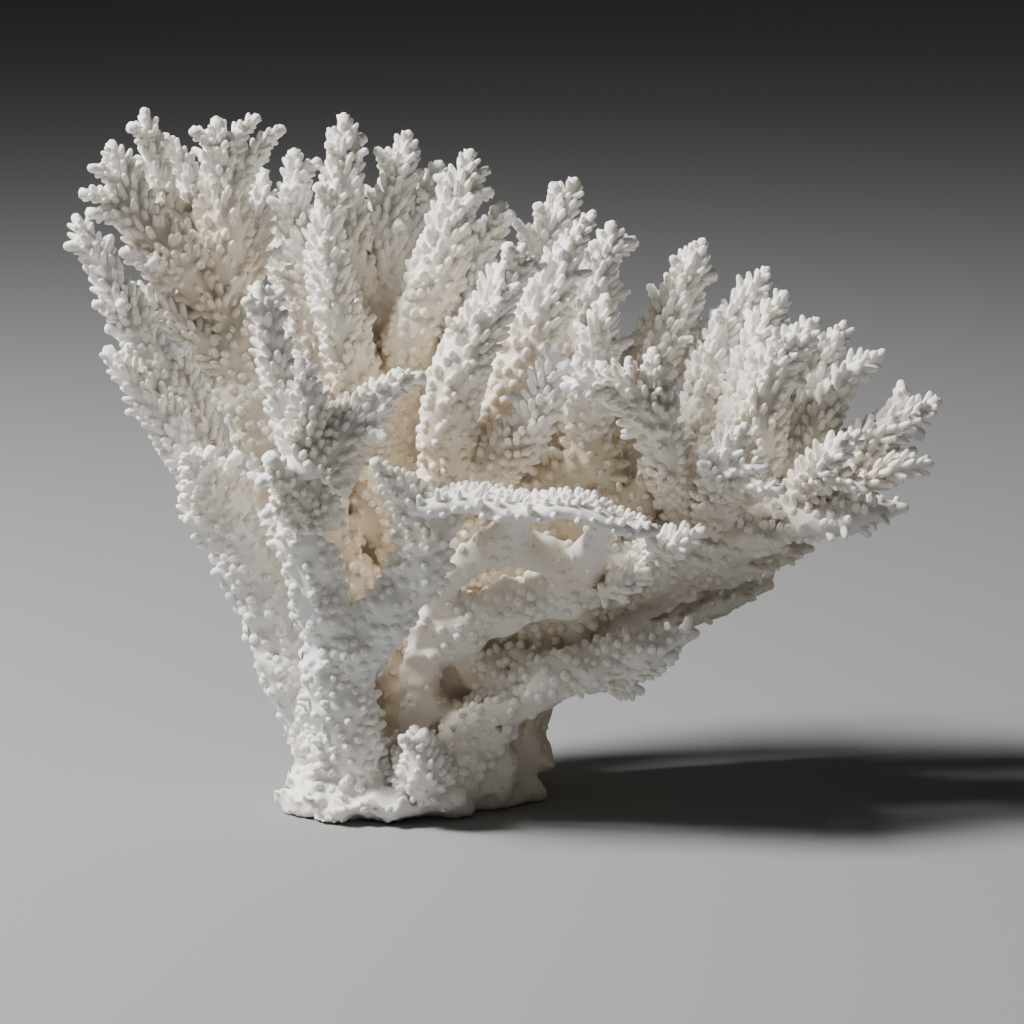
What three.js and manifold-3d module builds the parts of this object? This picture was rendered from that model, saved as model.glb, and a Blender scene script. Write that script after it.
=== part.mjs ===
// A bleached branching stony coral, cut off flat at its foot, as a group of named solids.
// Millimetres, +Z up, +Y away from the side that shows best. The origin is the middle of the cut face.
// The skeleton grew as one piece. It is parted at its main forks: the foot, the limbs that
// rise from it, and the fronds that the limbs carry, each with its own side twigs fused on.
import * as THREE from 'three';
import { mergeVertices } from 'three/addons/utils/BufferGeometryUtils.js';
import Module from 'manifold-3d';

const wasm = await Module();
wasm.setup();

// Driving dimensions
const FORK_GAP = 0.3; // clear space where two pieces meet at a fork
const SLIVER = 0.2; // facets thinner than this are smoothed away
const SPECK = 0.005; // the same where pieces already lie clear of each other
const TIP_RADIUS = 1.4; // the single cup that ends every branch
const TIP_BARE = 3; // length of that cup
const LIMB_TAPER = 13; // length over which a limb narrows to that cup
const FROND_TAPER = 30; // the same of a frond
const TAPER_POWER = 0.8;
const FROND_GIRTH = [1.6, 0.75]; // radius of a frond where it forks off and at its end, of its own girth
const CUP_WALLS = 1; // what the roots of the cups add to the radius of a branch
const FOOT = { halfWidth: 30.5, halfDepth: 25, height: 17, tilt: 0.22 };

// Cups stand off a branch in staggered rings. They are young and long on fronds, old and low on limbs.
const LIMB_CUPS = { sides: 6, ringStep: 20, rise: 1.2, lean: 0.4 };
const FROND_CUPS = { sides: 6, ringStep: 18, rise: 1.8, lean: 1.1 };
const TWIG_LEAN = 5; // a twig grows from this far below its tip

// Sprigs: short side shoots on the young part of a frond, each a golden angle on from the one above.
// first is how far the topmost stands below the tip, share the part of the length that carries them,
// lean the angle from the frond's line, and reach how far a sprig stands off the frond.
const SPRIGS = { first: 12, step: 7.5, share: 0.55, lean: 0.73, reach: 4.8 };
const GOLDEN_ANGLE = Math.PI * (3 - Math.sqrt(5));

const bleachedSkeleton = () =>
  new THREE.MeshStandardMaterial({ color: 0xf0ebe0, roughness: 0.75, metalness: 0 });

// Limbs: points on the middle line as [across, back, up], then the radius at the start and the end.
// flat is how much wider than thick the section is, and thinAlong the way that it is thin.
const limb = (name, path, shape) => ({ name, path, cups: LIMB_CUPS, taper: LIMB_TAPER, ...shape });

// Fronds: the branch that carries it and the share of its length where it forks off, the middle
// and the tip of its line, the radius, and the tips of its twigs. fusedTo names another piece.
const frond = (name, on, at, middle, tip, shape) =>
  ({ name, on, at, middle, tip, cups: FROND_CUPS, taper: FROND_TAPER, thinAlong: 'y', ...shape });

const LIMBS = [
  limb('trunk', [[-2, 2, 5], [4, 3, 23], [14, 4, 40], [22, 5, 50]],
    { girth: [14, 11], flat: 2.05, thinAlong: 'y', fusedTo: 'base' }),
  limb('left_limb', [[-16, -8, 7], [-28, -13, 33], [-36, -16, 54], [-45, -18, 74], [-50, -19, 87]],
    { girth: [7.6, 5.6], flat: 1, thinAlong: 'y' }),
  limb('front_limb', [[-15, -15, 7], [-16, -22, 21], [-18, -27, 42]],
    { girth: [8.8, 7], flat: 1, thinAlong: 'y' }),
  limb('front_left_limb', [[-18, -26, 36], [-22, -31, 57], [-24, -36, 76], [-23, -39, 93]],
    { girth: [4.8, 6], flat: 1.1, thinAlong: 'y' }),
  limb('front_right_limb', [[-17, -26, 36], [-4, -32, 55], [4, -37, 68], [6, -40, 80]],
    { girth: [4.8, 5.8], flat: 1, thinAlong: 'y' }),
  limb('front_ridge', [[3, -40, 81], [15, -43, 83], [27, -45, 81], [40, -47, 82], [50, -47, 78],
    [59, -48, 77]],
    { girth: [2.6, 1.8], flat: 3, thinAlong: 'z' }),
  limb('strut', [[1, -10, 7], [2, -12, 26], [4, -16, 44], [12, -23, 62], [23, -32, 72], [29, -42, 80]],
    { girth: [5, 3.6], flat: 1, thinAlong: 'y' }),
  limb('front_arch', [[22, -30, 70], [33, -30, 68], [40, -22, 59]],
    { girth: [4.2, 4.4], flat: 1, thinAlong: 'y', fusedTo: 'strut' }),
  limb('under_limb', [[6, -16, 44], [22, -20, 52], [38, -20, 57], [56, -18, 64], [73, -16, 69]],
    { girth: [5.6, 5], flat: 1, thinAlong: 'y' }),
  limb('front_wall', [[40, -20, 57], [44, -31, 68], [47, -44, 78]],
    { girth: [4.4, 2.8], flat: 1.1, thinAlong: 'y', fusedTo: 'front_ridge' }),
  limb('inner_limb', [[14, 0, 40], [29, -6, 62], [41, -12, 83], [44, -14, 96]],
    { girth: [8, 5], flat: 1.8, thinAlong: 'y' }),
  limb('inner_right_limb', [[33, -4, 46], [48, -10, 65], [58, -16, 84]],
    { girth: [7, 4.5], flat: 1.6, thinAlong: 'y' }),
  limb('crust', [[-25, -14, 3], [-15, -23, 4], [-3, -27, 5], [10, -23, 6]],
    { girth: [3.6, 3], flat: 1.6, thinAlong: 'z', fusedTo: 'base' }),
  limb('low_right_limb', [[3, -10, 5], [17, -15, 21], [33, -20, 34], [52, -24, 40], [70, -27, 48]],
    { girth: [7, 3.8], flat: 1.2, thinAlong: 'z' }),
  limb('back_left_limb', [[-10, 2, 37], [-19, 0, 53], [-32, 0, 84], [-42, 4, 110], [-51, 8, 129]],
    { girth: [9, 5], flat: 1.3, thinAlong: 'y' }),
  limb('back_mid_limb', [[0, 8, 39], [-4, 10, 56], [-8, 11, 79], [-10, 13, 99]],
    { girth: [9, 6.5], flat: 1.3, thinAlong: 'y' }),
  limb('mid_limb', [[7, 0, 40], [8, -4, 57], [10, -8, 75], [15, -10, 90]],
    { girth: [8.5, 6], flat: 1.4, thinAlong: 'y' }),
  limb('right_limb', [[18, 7, 36], [28, 8, 50], [38, 8, 66], [47, 8, 84]],
    { girth: [9, 6], flat: 1.4, thinAlong: 'y' }),
  limb('far_right_limb', [[19, 0, 34], [42, -2, 48], [67, -6, 64], [89, -9, 73], [107, -11, 81]],
    { girth: [9, 5], flat: 1.6, thinAlong: 'z' }),
  limb('right_shelf_low', [[17, 10, 23], [44, 14, 34], [70, 17, 45], [91, 18, 51]],
    { girth: [6.5, 3.4], flat: 1.5, thinAlong: 'z' }),
  limb('right_shelf_mid', [[37, 2, 45], [62, 4, 52], [82, 4, 59], [100, 4, 63]],
    { girth: [5.5, 3.4], flat: 1.5, thinAlong: 'z' }),
  limb('right_shelf_edge', [[69, -8, 64], [91, -16, 72], [108, -20, 75], [121, -22, 78]],
    { girth: [5, 3.2], flat: 1.5, thinAlong: 'z' }),
  limb('rear_limb', [[-1, 12, 25], [-7, 14, 43], [-14, 28, 66], [-16, 34, 89]],
    { girth: [8, 5.5], flat: 1.3, thinAlong: 'x' }),
  limb('rear_right_limb', [[14, 12, 25], [33, 16, 41], [53, 26, 56], [73, 30, 71]],
    { girth: [8, 5], flat: 1.4, thinAlong: 'z' }),
];
const FRONDS = [
  frond('left_arm', 'left_limb', 0.88, [-64, -15, 115], [-81, -17, 149],
    { girth: 3.3, flat: 1, twigs: [[-83, -20, 142], [-76, -22, 128], [-73, -21, 122], [-73, -11, 143]] }),
  frond('left_arm_lower', 'left_limb', 0.8, [-59, -22, 99], [-73, -27, 118],
    { girth: 3.4, flat: 1, twigs: [[-68, -21, 118]], fusedTo: 'left_arm' }),
  frond('left_ledge', 'left_limb', 0.9, [-51, -29, 89], [-54, -35, 93],
    { girth: 6, flat: 1, twigs: [[-41, -27, 92], [-47, -31, 94]], fusedTo: 'left_limb' }),
  frond('left_stub', 'left_limb', 0.9, [-54, -12, 106], [-58, -16, 117],
    { girth: 3, flat: 1, twigs: [[-55, -12, 117]], fusedTo: 'left_arm' }),
  frond('left_inner_twig', 'back_left_limb', 0.74, [-61, 0, 123], [-71, -4, 130],
    { girth: 2.5, flat: 1, twigs: [] }),
  frond('upper_left_shelf', 'back_left_limb', 0.93, [-58, 0, 134], [-71, -6, 139],
    { girth: 3.4, flat: 1, twigs: [[-63, -12, 137]], fusedTo: 'upper_left_hand' }),
  frond('upper_left_spire', 'back_left_limb', 0.95, [-61, 8, 149], [-66, 6, 173],
    { girth: 2.5, flat: 1, twigs: [[-69, 2, 169]], fusedTo: 'upper_left_fan' }),
  frond('upper_left_hand', 'upper_left_shelf', 0.45, [-67, -2, 148], [-73, -6, 166],
    { girth: 3.4, flat: 1.2, twigs: [[-78, -9, 160], [-80, -11, 154], [-78, -12, 149], [-71, 0, 160]] }),
  frond('upper_left_slip', 'back_left_limb', 0.96, [-55, 16, 152], [-62, 15, 166],
    { girth: 2.5, flat: 1, twigs: [], fusedTo: 'upper_left_fan' }),
  frond('upper_left_fan', 'back_left_limb', 0.96, [-47, 8, 151], [-48, 4, 171],
    { girth: 3.9, flat: 1.25,
      twigs: [[-54, 2, 168], [-42, 6, 167], [-38, 9, 171], [-32, 12, 168], [-36, 14, 162]] }),
  frond('upper_left_back', 'back_left_limb', 0.92, [-40, 16, 143], [-38, 20, 157],
    { girth: 3.4, flat: 1.2, twigs: [], fusedTo: 'upper_left_fan' }),
  frond('centre_left_fan', 'back_mid_limb', 0.93, [-27, 8, 140], [-29, 6, 163],
    { girth: 3.2, flat: 1.2, twigs: [[-35, 2, 151], [-23, 10, 160], [-31, 2, 154]] }),
  frond('tall_spire', 'back_mid_limb', 0.95, [-17, 16, 142], [-17, 16, 171],
    { girth: 3.5, flat: 1.25, twigs: [[-21, 13, 164], [-12, 19, 165]], fusedTo: 'tall_fan' }),
  frond('tall_fan', 'back_mid_limb', 0.96, [-8, 20, 137], [-1, 24, 166],
    { girth: 3.4, flat: 1.2, twigs: [[-9, 20, 162], [1, 27, 161]] }),
  frond('centre_front_left', 'back_mid_limb', 0.8, [-18, -8, 125], [-21, -14, 143],
    { girth: 3.9, flat: 1.1, twigs: [[-16, -10, 139]], fusedTo: 'centre_left_fan' }),
  frond('centre_left_blunt', 'back_mid_limb', 0.9, [-21, 2, 136], [-18, 0, 156],
    { girth: 3.5, flat: 1.2, twigs: [[-15, 2, 151], [-23, -3, 155]], fusedTo: 'centre_left_fan' }),
  frond('centre_spire', 'back_mid_limb', 0.86, [6, 2, 132], [15, 4, 163],
    { girth: 4, flat: 1.25, twigs: [[19, 7, 158], [20, 2, 153], [10, 3, 155]] }),
  frond('centre_back', 'back_mid_limb', 0.97, [-4, 24, 132], [7, 28, 158],
    { girth: 3.2, flat: 1.2, twigs: [[3, 24, 151]], fusedTo: 'tall_fan' }),
  frond('centre_right', 'mid_limb', 0.92, [14, 6, 127], [23, 6, 150],
    { girth: 3.4, flat: 1.1, twigs: [[25, 2, 147]] }),
  frond('front_slender', 'front_left_limb', 0.94, [-30, -42, 111], [-35, -46, 136],
    { girth: 2.7, flat: 1, twigs: [[-38, -50, 132], [-29, -45, 134]] }),
  frond('front_stub', 'front_left_limb', 0.98, [-24, -44, 106], [-25, -48, 118],
    { girth: 4.4, flat: 1, twigs: [[-21, -46, 116]], fusedTo: 'front_slender' }),
  frond('front_lobe_right', 'front_left_limb', 0.98, [-13, -38, 101], [-1, -38, 114],
    { girth: 5, flat: 1.25, twigs: [[4, -36, 112], [-9, -40, 109], [-5, -46, 99]] }),
  frond('front_lobe_left', 'front_left_limb', 0.78, [-29, -44, 89], [-33, -48, 95],
    { girth: 5.2, flat: 1, twigs: [[-35, -51, 89], [-34, -49, 81]], fusedTo: 'front_left_limb' }),
  frond('ridge_horn', 'front_right_limb', 0.9, [-1, -44, 86], [-8, -50, 94],
    { girth: 5, flat: 1, twigs: [[-5, -50, 89]], fusedTo: 'front_right_limb' }),
  frond('front_sweep', 'mid_limb', 0.7, [11, -24, 108], [28, -28, 143],
    { girth: 4, flat: 1.2, twigs: [[24, -32, 143], [33, -25, 138], [22, -34, 130]] }),
  frond('middle_sweep', 'mid_limb', 0.97, [26, -10, 110], [41, -10, 145],
    { girth: 4, flat: 1.25, twigs: [[45, -8, 149], [37, -14, 140]] }),
  frond('middle_leaf', 'mid_limb', 0.8, [29, -24, 98], [36, -30, 119],
    { girth: 3.5, flat: 1.25, twigs: [[39, -32, 114]] }),
  frond('centre_right_spire', 'right_limb', 0.85, [32, 12, 129], [41, 14, 155],
    { girth: 3.7, flat: 1.25, twigs: [[35, 12, 154], [26, 9, 145], [31, 10, 149]] }),
  frond('right_front_spire', 'right_limb', 0.7, [44, -16, 104], [48, -20, 130],
    { girth: 3.5, flat: 1.2, twigs: [[46, -18, 128], [54, -20, 119]] }),
  frond('right_spire', 'right_limb', 0.92, [44, 6, 117], [50, 6, 145],
    { girth: 3.9, flat: 1.25, twigs: [[56, 8, 140], [45, 4, 140]], fusedTo: 'centre_right_spire' }),
  frond('hooked_branch', 'far_right_limb', 0.62, [61, -28, 96], [59, -36, 119],
    { girth: 3.7, flat: 1.1, twigs: [[63, -34, 115]] }),
  frond('hook_lobe', 'hooked_branch', 0.72, [49, -39, 111], [37, -43, 111],
    { girth: 4.2, flat: 1,
      twigs: [[40, -42, 117], [46, -40, 116], [53, -38, 117]], fusedTo: 'hooked_branch' }),
  frond('right_fan', 'right_limb', 0.96, [62, 10, 114], [73, 12, 140],
    { girth: 4, flat: 1.25, twigs: [[65, 8, 136], [76, 13, 131], [69, 6, 134]] }),
  frond('right_blade', 'far_right_limb', 0.62, [74, 6, 108], [89, 10, 133],
    { girth: 3.4, flat: 1.1, twigs: [] }),
  frond('right_blade_short', 'far_right_limb', 0.68, [84, 0, 112], [93, 2, 128],
    { girth: 3.2, flat: 1, twigs: [[96, 0, 119]], fusedTo: 'right_blade' }),
  frond('right_bright', 'far_right_limb', 0.74, [87, -10, 105], [100, -12, 123],
    { girth: 4, flat: 1.25, twigs: [[93, -14, 119], [83, -12, 115]] }),
  frond('right_crest', 'far_right_limb', 0.82, [99, 2, 103], [108, 6, 120],
    { girth: 3.4, flat: 1.1, twigs: [] }),
  frond('right_finger', 'far_right_limb', 0.86, [106, -4, 105], [117, -4, 114],
    { girth: 2.7, flat: 1, twigs: [], fusedTo: 'right_crest' }),
  frond('right_tip_fan', 'far_right_limb', 0.94, [114, -10, 93], [130, -12, 103],
    { girth: 3.5, flat: 1.2, twigs: [[121, -8, 107], [125, -14, 99]] }),
  frond('right_tip_low', 'far_right_limb', 0.97, [117, -14, 86], [128, -16, 88],
    { girth: 2.9, flat: 1, twigs: [[124, -12, 91]] }),
  frond('right_front_fan', 'far_right_limb', 0.88, [100, -26, 89], [109, -30, 98],
    { girth: 3, flat: 1.1, twigs: [[104, -32, 96], [111, -32, 84]] }),
  frond('right_front_lobe', 'far_right_limb', 0.66, [74, -34, 88], [81, -38, 101],
    { girth: 3.2, flat: 1.1, twigs: [[90, -43, 86], [86, -41, 91], [70, -41, 92]] }),
  frond('front_shelf_lobe', 'under_limb', 0.78, [61, -34, 70], [71, -42, 76],
    { girth: 3, flat: 1, twigs: [[58, -44, 74]] }),
  frond('front_shelf_twig', 'under_limb', 0.66, [48, -28, 59], [58, -36, 65],
    { girth: 2.5, flat: 1, twigs: [], fusedTo: 'front_shelf_lobe' }),
  frond('low_right_fork', 'low_right_limb', 0.62, [50, -24, 35], [57, -26, 33],
    { girth: 2.9, flat: 1, twigs: [[65, -30, 43]], fusedTo: 'low_right_limb' }),
  frond('base_knob', 'base', 0.5, [3, -30, 13], [1, -35, 26],
    { girth: 8, flat: 1, twigs: [[-2, -38, 24], [4, -38, 25]], fusedTo: 'base' }),
  frond('rear_left_fan', 'rear_limb', 0.92, [-29, 32, 123], [-42, 36, 144],
    { girth: 3.7, flat: 1.25, twigs: [[-48, 34, 139], [-36, 40, 146]] }),
  frond('rear_spire', 'rear_limb', 0.96, [-18, 40, 119], [-17, 44, 151],
    { girth: 3.7, flat: 1.25, twigs: [[-22, 48, 145], [-11, 48, 145]], fusedTo: 'rear_left_fan' }),
  frond('rear_sweep', 'rear_limb', 0.94, [1, 38, 117], [12, 42, 143],
    { girth: 3.7, flat: 1.25, twigs: [[17, 46, 136], [6, 48, 140]] }),
  frond('rear_right_spire', 'rear_right_limb', 0.62, [32, 30, 102], [41, 34, 131],
    { girth: 3.7, flat: 1.25, twigs: [[36, 40, 125], [48, 38, 124]] }),
  frond('rear_right_fan', 'rear_right_limb', 0.85, [58, 32, 99], [71, 36, 122],
    { girth: 3.7, flat: 1.25, twigs: [[65, 42, 117], [77, 38, 115]] }),
  frond('rear_right_tip', 'rear_right_limb', 0.97, [86, 30, 89], [102, 32, 104],
    { girth: 3.5, flat: 1.2, twigs: [[97, 40, 97], [107, 32, 97]] }),
];

const UNIT = {
  x: new THREE.Vector3(1, 0, 0),
  y: new THREE.Vector3(0, 1, 0),
  z: new THREE.Vector3(0, 0, 1),
};

const point = (xyz) => new THREE.Vector3(...xyz);

const curveThrough = (points) => new THREE.CatmullRomCurve3(points, false, 'catmullrom', 0.5);

// A three.js geometry as a solid: only positions are left, and shared vertices are merged.
function solidOf(geometry) {
  geometry.deleteAttribute('normal');
  geometry.deleteAttribute('uv');
  const merged = mergeVertices(geometry, 1e-3);
  return new wasm.Manifold(new wasm.Mesh({
    numProp: 3,
    vertProperties: merged.getAttribute('position').array,
    triVerts: new Uint32Array(merged.index.array),
  }));
}

// A solid as a three.js geometry.
function geometryOf(solid) {
  const mesh = solid.getMesh();
  const geometry = new THREE.BufferGeometry();
  geometry.setAttribute('position', new THREE.BufferAttribute(mesh.vertProperties, 3));
  geometry.setIndex(new THREE.BufferAttribute(mesh.triVerts, 1));
  return geometry;
}

// A solid worked out in full, free of the steps that led to it.
function settled(solid) {
  const { vertProperties, triVerts } = solid.getMesh();
  return new wasm.Manifold(new wasm.Mesh({ numProp: 3, vertProperties, triVerts }));
}

// A solid grown on every side by the gap at a fork, to part its neighbours from it.
function puffed(solid) {
  const geometry = geometryOf(solid);
  geometry.computeVertexNormals();
  const position = geometry.getAttribute('position');
  const normal = geometry.getAttribute('normal');
  position.array.forEach((value, i) => {
    position.array[i] = value + FORK_GAP * normal.array[i];
  });
  return solidOf(geometry);
}

// The directions of a branch's section at a share of its length: wide, thin and along.
function sectionAt(curve, share, thinAlong) {
  const along = curve.getTangentAt(share);
  const wide = UNIT[thinAlong].clone().cross(along).normalize();
  return { wide, thin: along.clone().cross(wide), along };
}

// The tips of the sprigs on a frond, from its tip downwards.
function sprigTips(curve, { radiusAt, flat, thinAlong, phase }) {
  const length = curve.getLength();
  const count = Math.max(0, Math.floor((SPRIGS.share * length - SPRIGS.first) / SPRIGS.step));
  return Array.from({ length: count }, (_, number) => {
    const share = 1 - (SPRIGS.first + number * SPRIGS.step) / length;
    const { wide, thin, along } = sectionAt(curve, share, thinAlong);
    const angle = phase + number * GOLDEN_ANGLE;
    const out = wide.multiplyScalar(flat * Math.cos(angle)).addScaledVector(thin, Math.sin(angle));
    return curve.getPointAt(share)
      .addScaledVector(out, radiusAt(share) + SPRIGS.reach * Math.sin(SPRIGS.lean))
      .addScaledVector(along, SPRIGS.reach * Math.cos(SPRIGS.lean));
  });
}

// A branch: a sphere's rings are carried along the curve, from its foot to its tip. Every second
// vertex, staggered from ring to ring, is a cup that stands off the branch and leans to the tip.
// A twig is such a vertex drawn out to the twig's own tip.
function branchSolid(curve, { radiusAt, flat, thinAlong, cups, twigs = [] }) {
  const length = curve.getLength();
  const rings = Math.max(4, Math.round(length / cups.ringStep) + 2);
  const endShare = TIP_RADIUS / length;
  const shareOf = (ring) => THREE.MathUtils.mapLinear(ring, 1, rings - 1, endShare, 1 - endShare);

  const latticePoint = (ring, column) => {
    if (ring === 0 || ring === rings) return curve.getPointAt(ring / rings);
    const share = shareOf(ring);
    const { wide, thin, along } = sectionAt(curve, share, thinAlong);
    const angle = (2 * Math.PI * column) / cups.sides;
    const isCup = (ring + column) % 2 === 0 && ring > 1 && ring < rings - 1;
    const rise = isCup ? cups.rise : 0;
    const reach = radiusAt(share) + rise;
    return curve.getPointAt(share)
      .addScaledVector(wide, Math.cos(angle) * (reach + radiusAt(share) * (flat - 1)))
      .addScaledVector(thin, Math.sin(angle) * reach)
      .addScaledVector(along, rise * cups.lean);
  };

  const lattice = [];
  for (let ring = 0; ring <= rings; ring++) {
    lattice.push(Array.from({ length: cups.sides }, (_, column) => latticePoint(ring, column)));
  }
  const free = lattice.slice(1, rings).flat();
  for (const tip of twigs) {
    const root = tip.clone().addScaledVector(curve.getTangentAt(1), -TWIG_LEAN);
    free.sort((p, q) => p.distanceTo(root) - q.distanceTo(root));
    free.shift().copy(tip);
  }

  const geometry = new THREE.SphereGeometry(1, cups.sides, rings);
  const position = geometry.getAttribute('position');
  const uv = geometry.getAttribute('uv');
  for (let i = 0; i < position.count; i++) {
    const ring = Math.round(uv.getY(i) * rings);
    const column = THREE.MathUtils.euclideanModulo(Math.round(uv.getX(i) * cups.sides), cups.sides);
    position.setXYZ(i, ...lattice[ring][column].toArray());
  }
  return solidOf(geometry);
}

// Radius along a branch: from its start to its end, then narrowing to the cup at the tip.
function taperedRadius(curve, [start, end], taper) {
  const length = curve.getLength();
  return (share) => {
    const body = THREE.MathUtils.lerp(start, end, share) + CUP_WALLS;
    const fullness = THREE.MathUtils.clamp(((1 - share) * length - TIP_BARE) / taper, 0, 1);
    return THREE.MathUtils.lerp(TIP_RADIUS, body, Math.pow(fullness, TAPER_POWER));
  };
}

// A frond's line: from the middle of its limb, over its own middle, to its tip.
const frondCurve = ({ at, middle, tip }, limbCurve) =>
  curveThrough([limbCurve.getPointAt(at), point(middle), point(tip)]);

// The foot: a low mound on an uneven oval, undercut a little at the cut face.
function footSolid() {
  const levels = [[0, 0.93], [0.12, 0.97], [0.36, 1], [0.62, 0.93], [0.85, 0.74], [1, 0.45]];
  const sides = 14;
  const rings = levels.length + 1;
  const geometry = new THREE.SphereGeometry(1, sides, rings);
  const position = geometry.getAttribute('position');
  const uv = geometry.getAttribute('uv');
  for (let i = 0; i < position.count; i++) {
    const ring = Math.round(uv.getY(i) * rings);
    const angle = 2 * Math.PI * uv.getX(i);
    const isPole = ring === 0 || ring === rings;
    const [height, spread] = levels[THREE.MathUtils.clamp(ring - 1, 0, levels.length - 1)];
    const uneven = 1 + 0.05 * Math.cos(3 * angle + 0.6) + 0.03 * Math.cos(5 * angle);
    const reach = isPole ? 0 : spread * uneven;
    const across = -Math.cos(angle) * reach * FOOT.halfWidth;
    const back = -Math.sin(angle) * reach * FOOT.halfDepth;
    position.setXYZ(i, across, back, height * (FOOT.height + FOOT.tilt * across));
  }
  return solidOf(geometry);
}

const footCurve = curveThrough([0, 0.5, 1].map((share) => new THREE.Vector3(0, 0, share * FOOT.height)));

// A limb, or a frond with its twigs and sprigs. A frond is stoutest where it forks off.
function grownSolid(branch) {
  const curve = curves.get(branch.name);
  const isLimb = Array.isArray(branch.girth);
  const girth = isLimb ? branch.girth : FROND_GIRTH.map((share) => share * branch.girth);
  const radiusAt = taperedRadius(curve, girth, branch.taper);
  if (isLimb) return branchSolid(curve, { ...branch, radiusAt });
  const phase = FRONDS.indexOf(branch);
  const twigs = [...branch.twigs.map(point), ...sprigTips(curve, { ...branch, radiusAt, phase })];
  return branchSolid(curve, { ...branch, radiusAt, twigs });
}

// Curves first, because a frond starts from the curve of what carries it.
const BRANCHES = [...LIMBS, ...FRONDS];
const curves = new Map([['base', footCurve]]);
for (const branch of BRANCHES) {
  curves.set(branch.name, branch.path
    ? curveThrough(branch.path.map(point))
    : frondCurve(branch, curves.get(branch.on)));
}

// The solid of a whole piece, with every branch that is fused to it.
function pieceSolid(name) {
  const branches = BRANCHES.filter((b) => (b.fusedTo ?? b.name) === name);
  const solids = branches.map(grownSolid);
  const foot = name === 'base' ? [footSolid()] : [];
  return wasm.Manifold.union([...foot, ...solids]);
}

const largestOf = (solid) =>
  solid.decompose().reduce((best, body) => (body.volume() > best.volume() ? body : best));

const aboveFloor = (solid) => solid.trimByPlane([0, 0, 1], 0);

function boxOf(solid) {
  const { min, max } = solid.boundingBox();
  return new THREE.Box3(point(min), point(max));
}

// Each piece is parted from those before it, so that a frond ends at its limb and a limb at the foot.
const coral = new THREE.Group();
const grown = [];
for (const name of ['base', ...BRANCHES.filter((b) => !b.fusedTo).map((b) => b.name)]) {
  const whole = aboveFloor(pieceSolid(name));
  const box = boxOf(whole);
  const neighbours = grown.filter((other) => other.box.intersectsBox(box));
  const parted = neighbours.reduce((rest, other) => rest.subtract(other.tool), whole).simplify(SLIVER);
  const crossed = neighbours.filter((other) => parted.intersect(other.solid).volume() > 0);
  const apart = crossed.reduce((rest, other) => rest.subtract(other.solid), parted).simplify(SPECK);
  const solid = settled(largestOf(apart));
  const tool = puffed(whole);
  grown.push({ solid, tool, box: boxOf(tool) });
  const mesh = new THREE.Mesh(geometryOf(solid), bleachedSkeleton());
  mesh.name = name;
  coral.add(mesh);
}

export default coral;
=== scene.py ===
"""Looks of a bleached branching coral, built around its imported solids.

The limbs and the foot are one skin, worked out as a level surface of a field, so that every fork is
filleted as it is on grown coral. The fronds are tubes along their lines. Both carry cups, the small
tubes that the animal lived in: long and leaning near the tips, low and nipple-like on old limbs.
"""

import logging
import math
from dataclasses import dataclass, field
from enum import Enum
from typing import Iterable, Sequence

import bpy
import numpy as np
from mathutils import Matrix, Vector
from mathutils.kdtree import KDTree


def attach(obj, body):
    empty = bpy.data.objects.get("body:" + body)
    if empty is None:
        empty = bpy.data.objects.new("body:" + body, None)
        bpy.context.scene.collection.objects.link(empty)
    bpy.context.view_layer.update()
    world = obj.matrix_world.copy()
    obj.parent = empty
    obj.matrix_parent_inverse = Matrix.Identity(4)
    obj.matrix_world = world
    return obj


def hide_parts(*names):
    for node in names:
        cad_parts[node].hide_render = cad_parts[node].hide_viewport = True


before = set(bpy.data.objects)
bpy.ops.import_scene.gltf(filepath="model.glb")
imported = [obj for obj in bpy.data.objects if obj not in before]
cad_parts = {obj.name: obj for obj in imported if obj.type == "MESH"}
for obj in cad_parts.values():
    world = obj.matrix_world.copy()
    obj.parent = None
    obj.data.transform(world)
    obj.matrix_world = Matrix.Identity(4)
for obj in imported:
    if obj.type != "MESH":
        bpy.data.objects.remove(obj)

log = logging.getLogger("coral")

Array = np.ndarray
Point = tuple[float, float, float]
Colour = tuple[float, float, float]

MM = 0.001
GOLDEN_ANGLE = math.pi * (3.0 - math.sqrt(5.0))
UP = np.array([0.0, 0.0, 1.0])
OBLIQUE = np.array([0.36, 0.48, 0.8])  # a direction that no cup points along

# Sizes in millimetres that the whole colony shares
TIP_RADIUS = 1.2  # the skin under the single cup that ends every branch
TIP_BARE = 1.8  # length of that cup, with no other cup on it
LIMB_TAPER = 13.0  # length over which a limb narrows to that cup
FROND_TAPER = 30.0  # the same of a frond
TWIG_TAPER = 14.0  # the same of a twig or a sprig
TAPER_POWER = 0.8
FROND_GIRTH = (1.65, 0.95)  # radius of a frond where it forks off and at its end, of its own girth
TWIG_GIRTH = (2.2, 1.4)  # radius of a twig at its start and end
SPRIG_GIRTH = (1.15, 1.15)  # the same of a sprig
BUD_LENGTH = 9.0  # length below a tip where cups are still growing out
FORK_FLARE = 1.2  # how much a stout branch widens where it leaves what carries it
FORK_FLARE_LENGTH = 6.0
FOOT = (30.5, 25.0, 17.0)  # half width, half depth and height of the mound at the cut
SHELF_FLAT = 1.5  # limbs at least this flat are shelves, with teeth on their edges
LOBE_GIRTH = 5.0  # fronds at least this stout are lobes, with short cups
FLOOR_CLEAR = 3.0  # no cup stands lower than this
FORK_FILLET = 3.0  # reach of the fillets between limbs
FOOT_FILLET = 5.0  # how much wider they are near the foot
FOOT_HEIGHTS = (0, 0.12, 0.36, 0.62, 0.85, 1)  # shares of the mound's height
FOOT_SPREADS = (0.93, 0.97, 1, 0.93, 0.74, 0.45)  # its share of the oval at those heights

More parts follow.
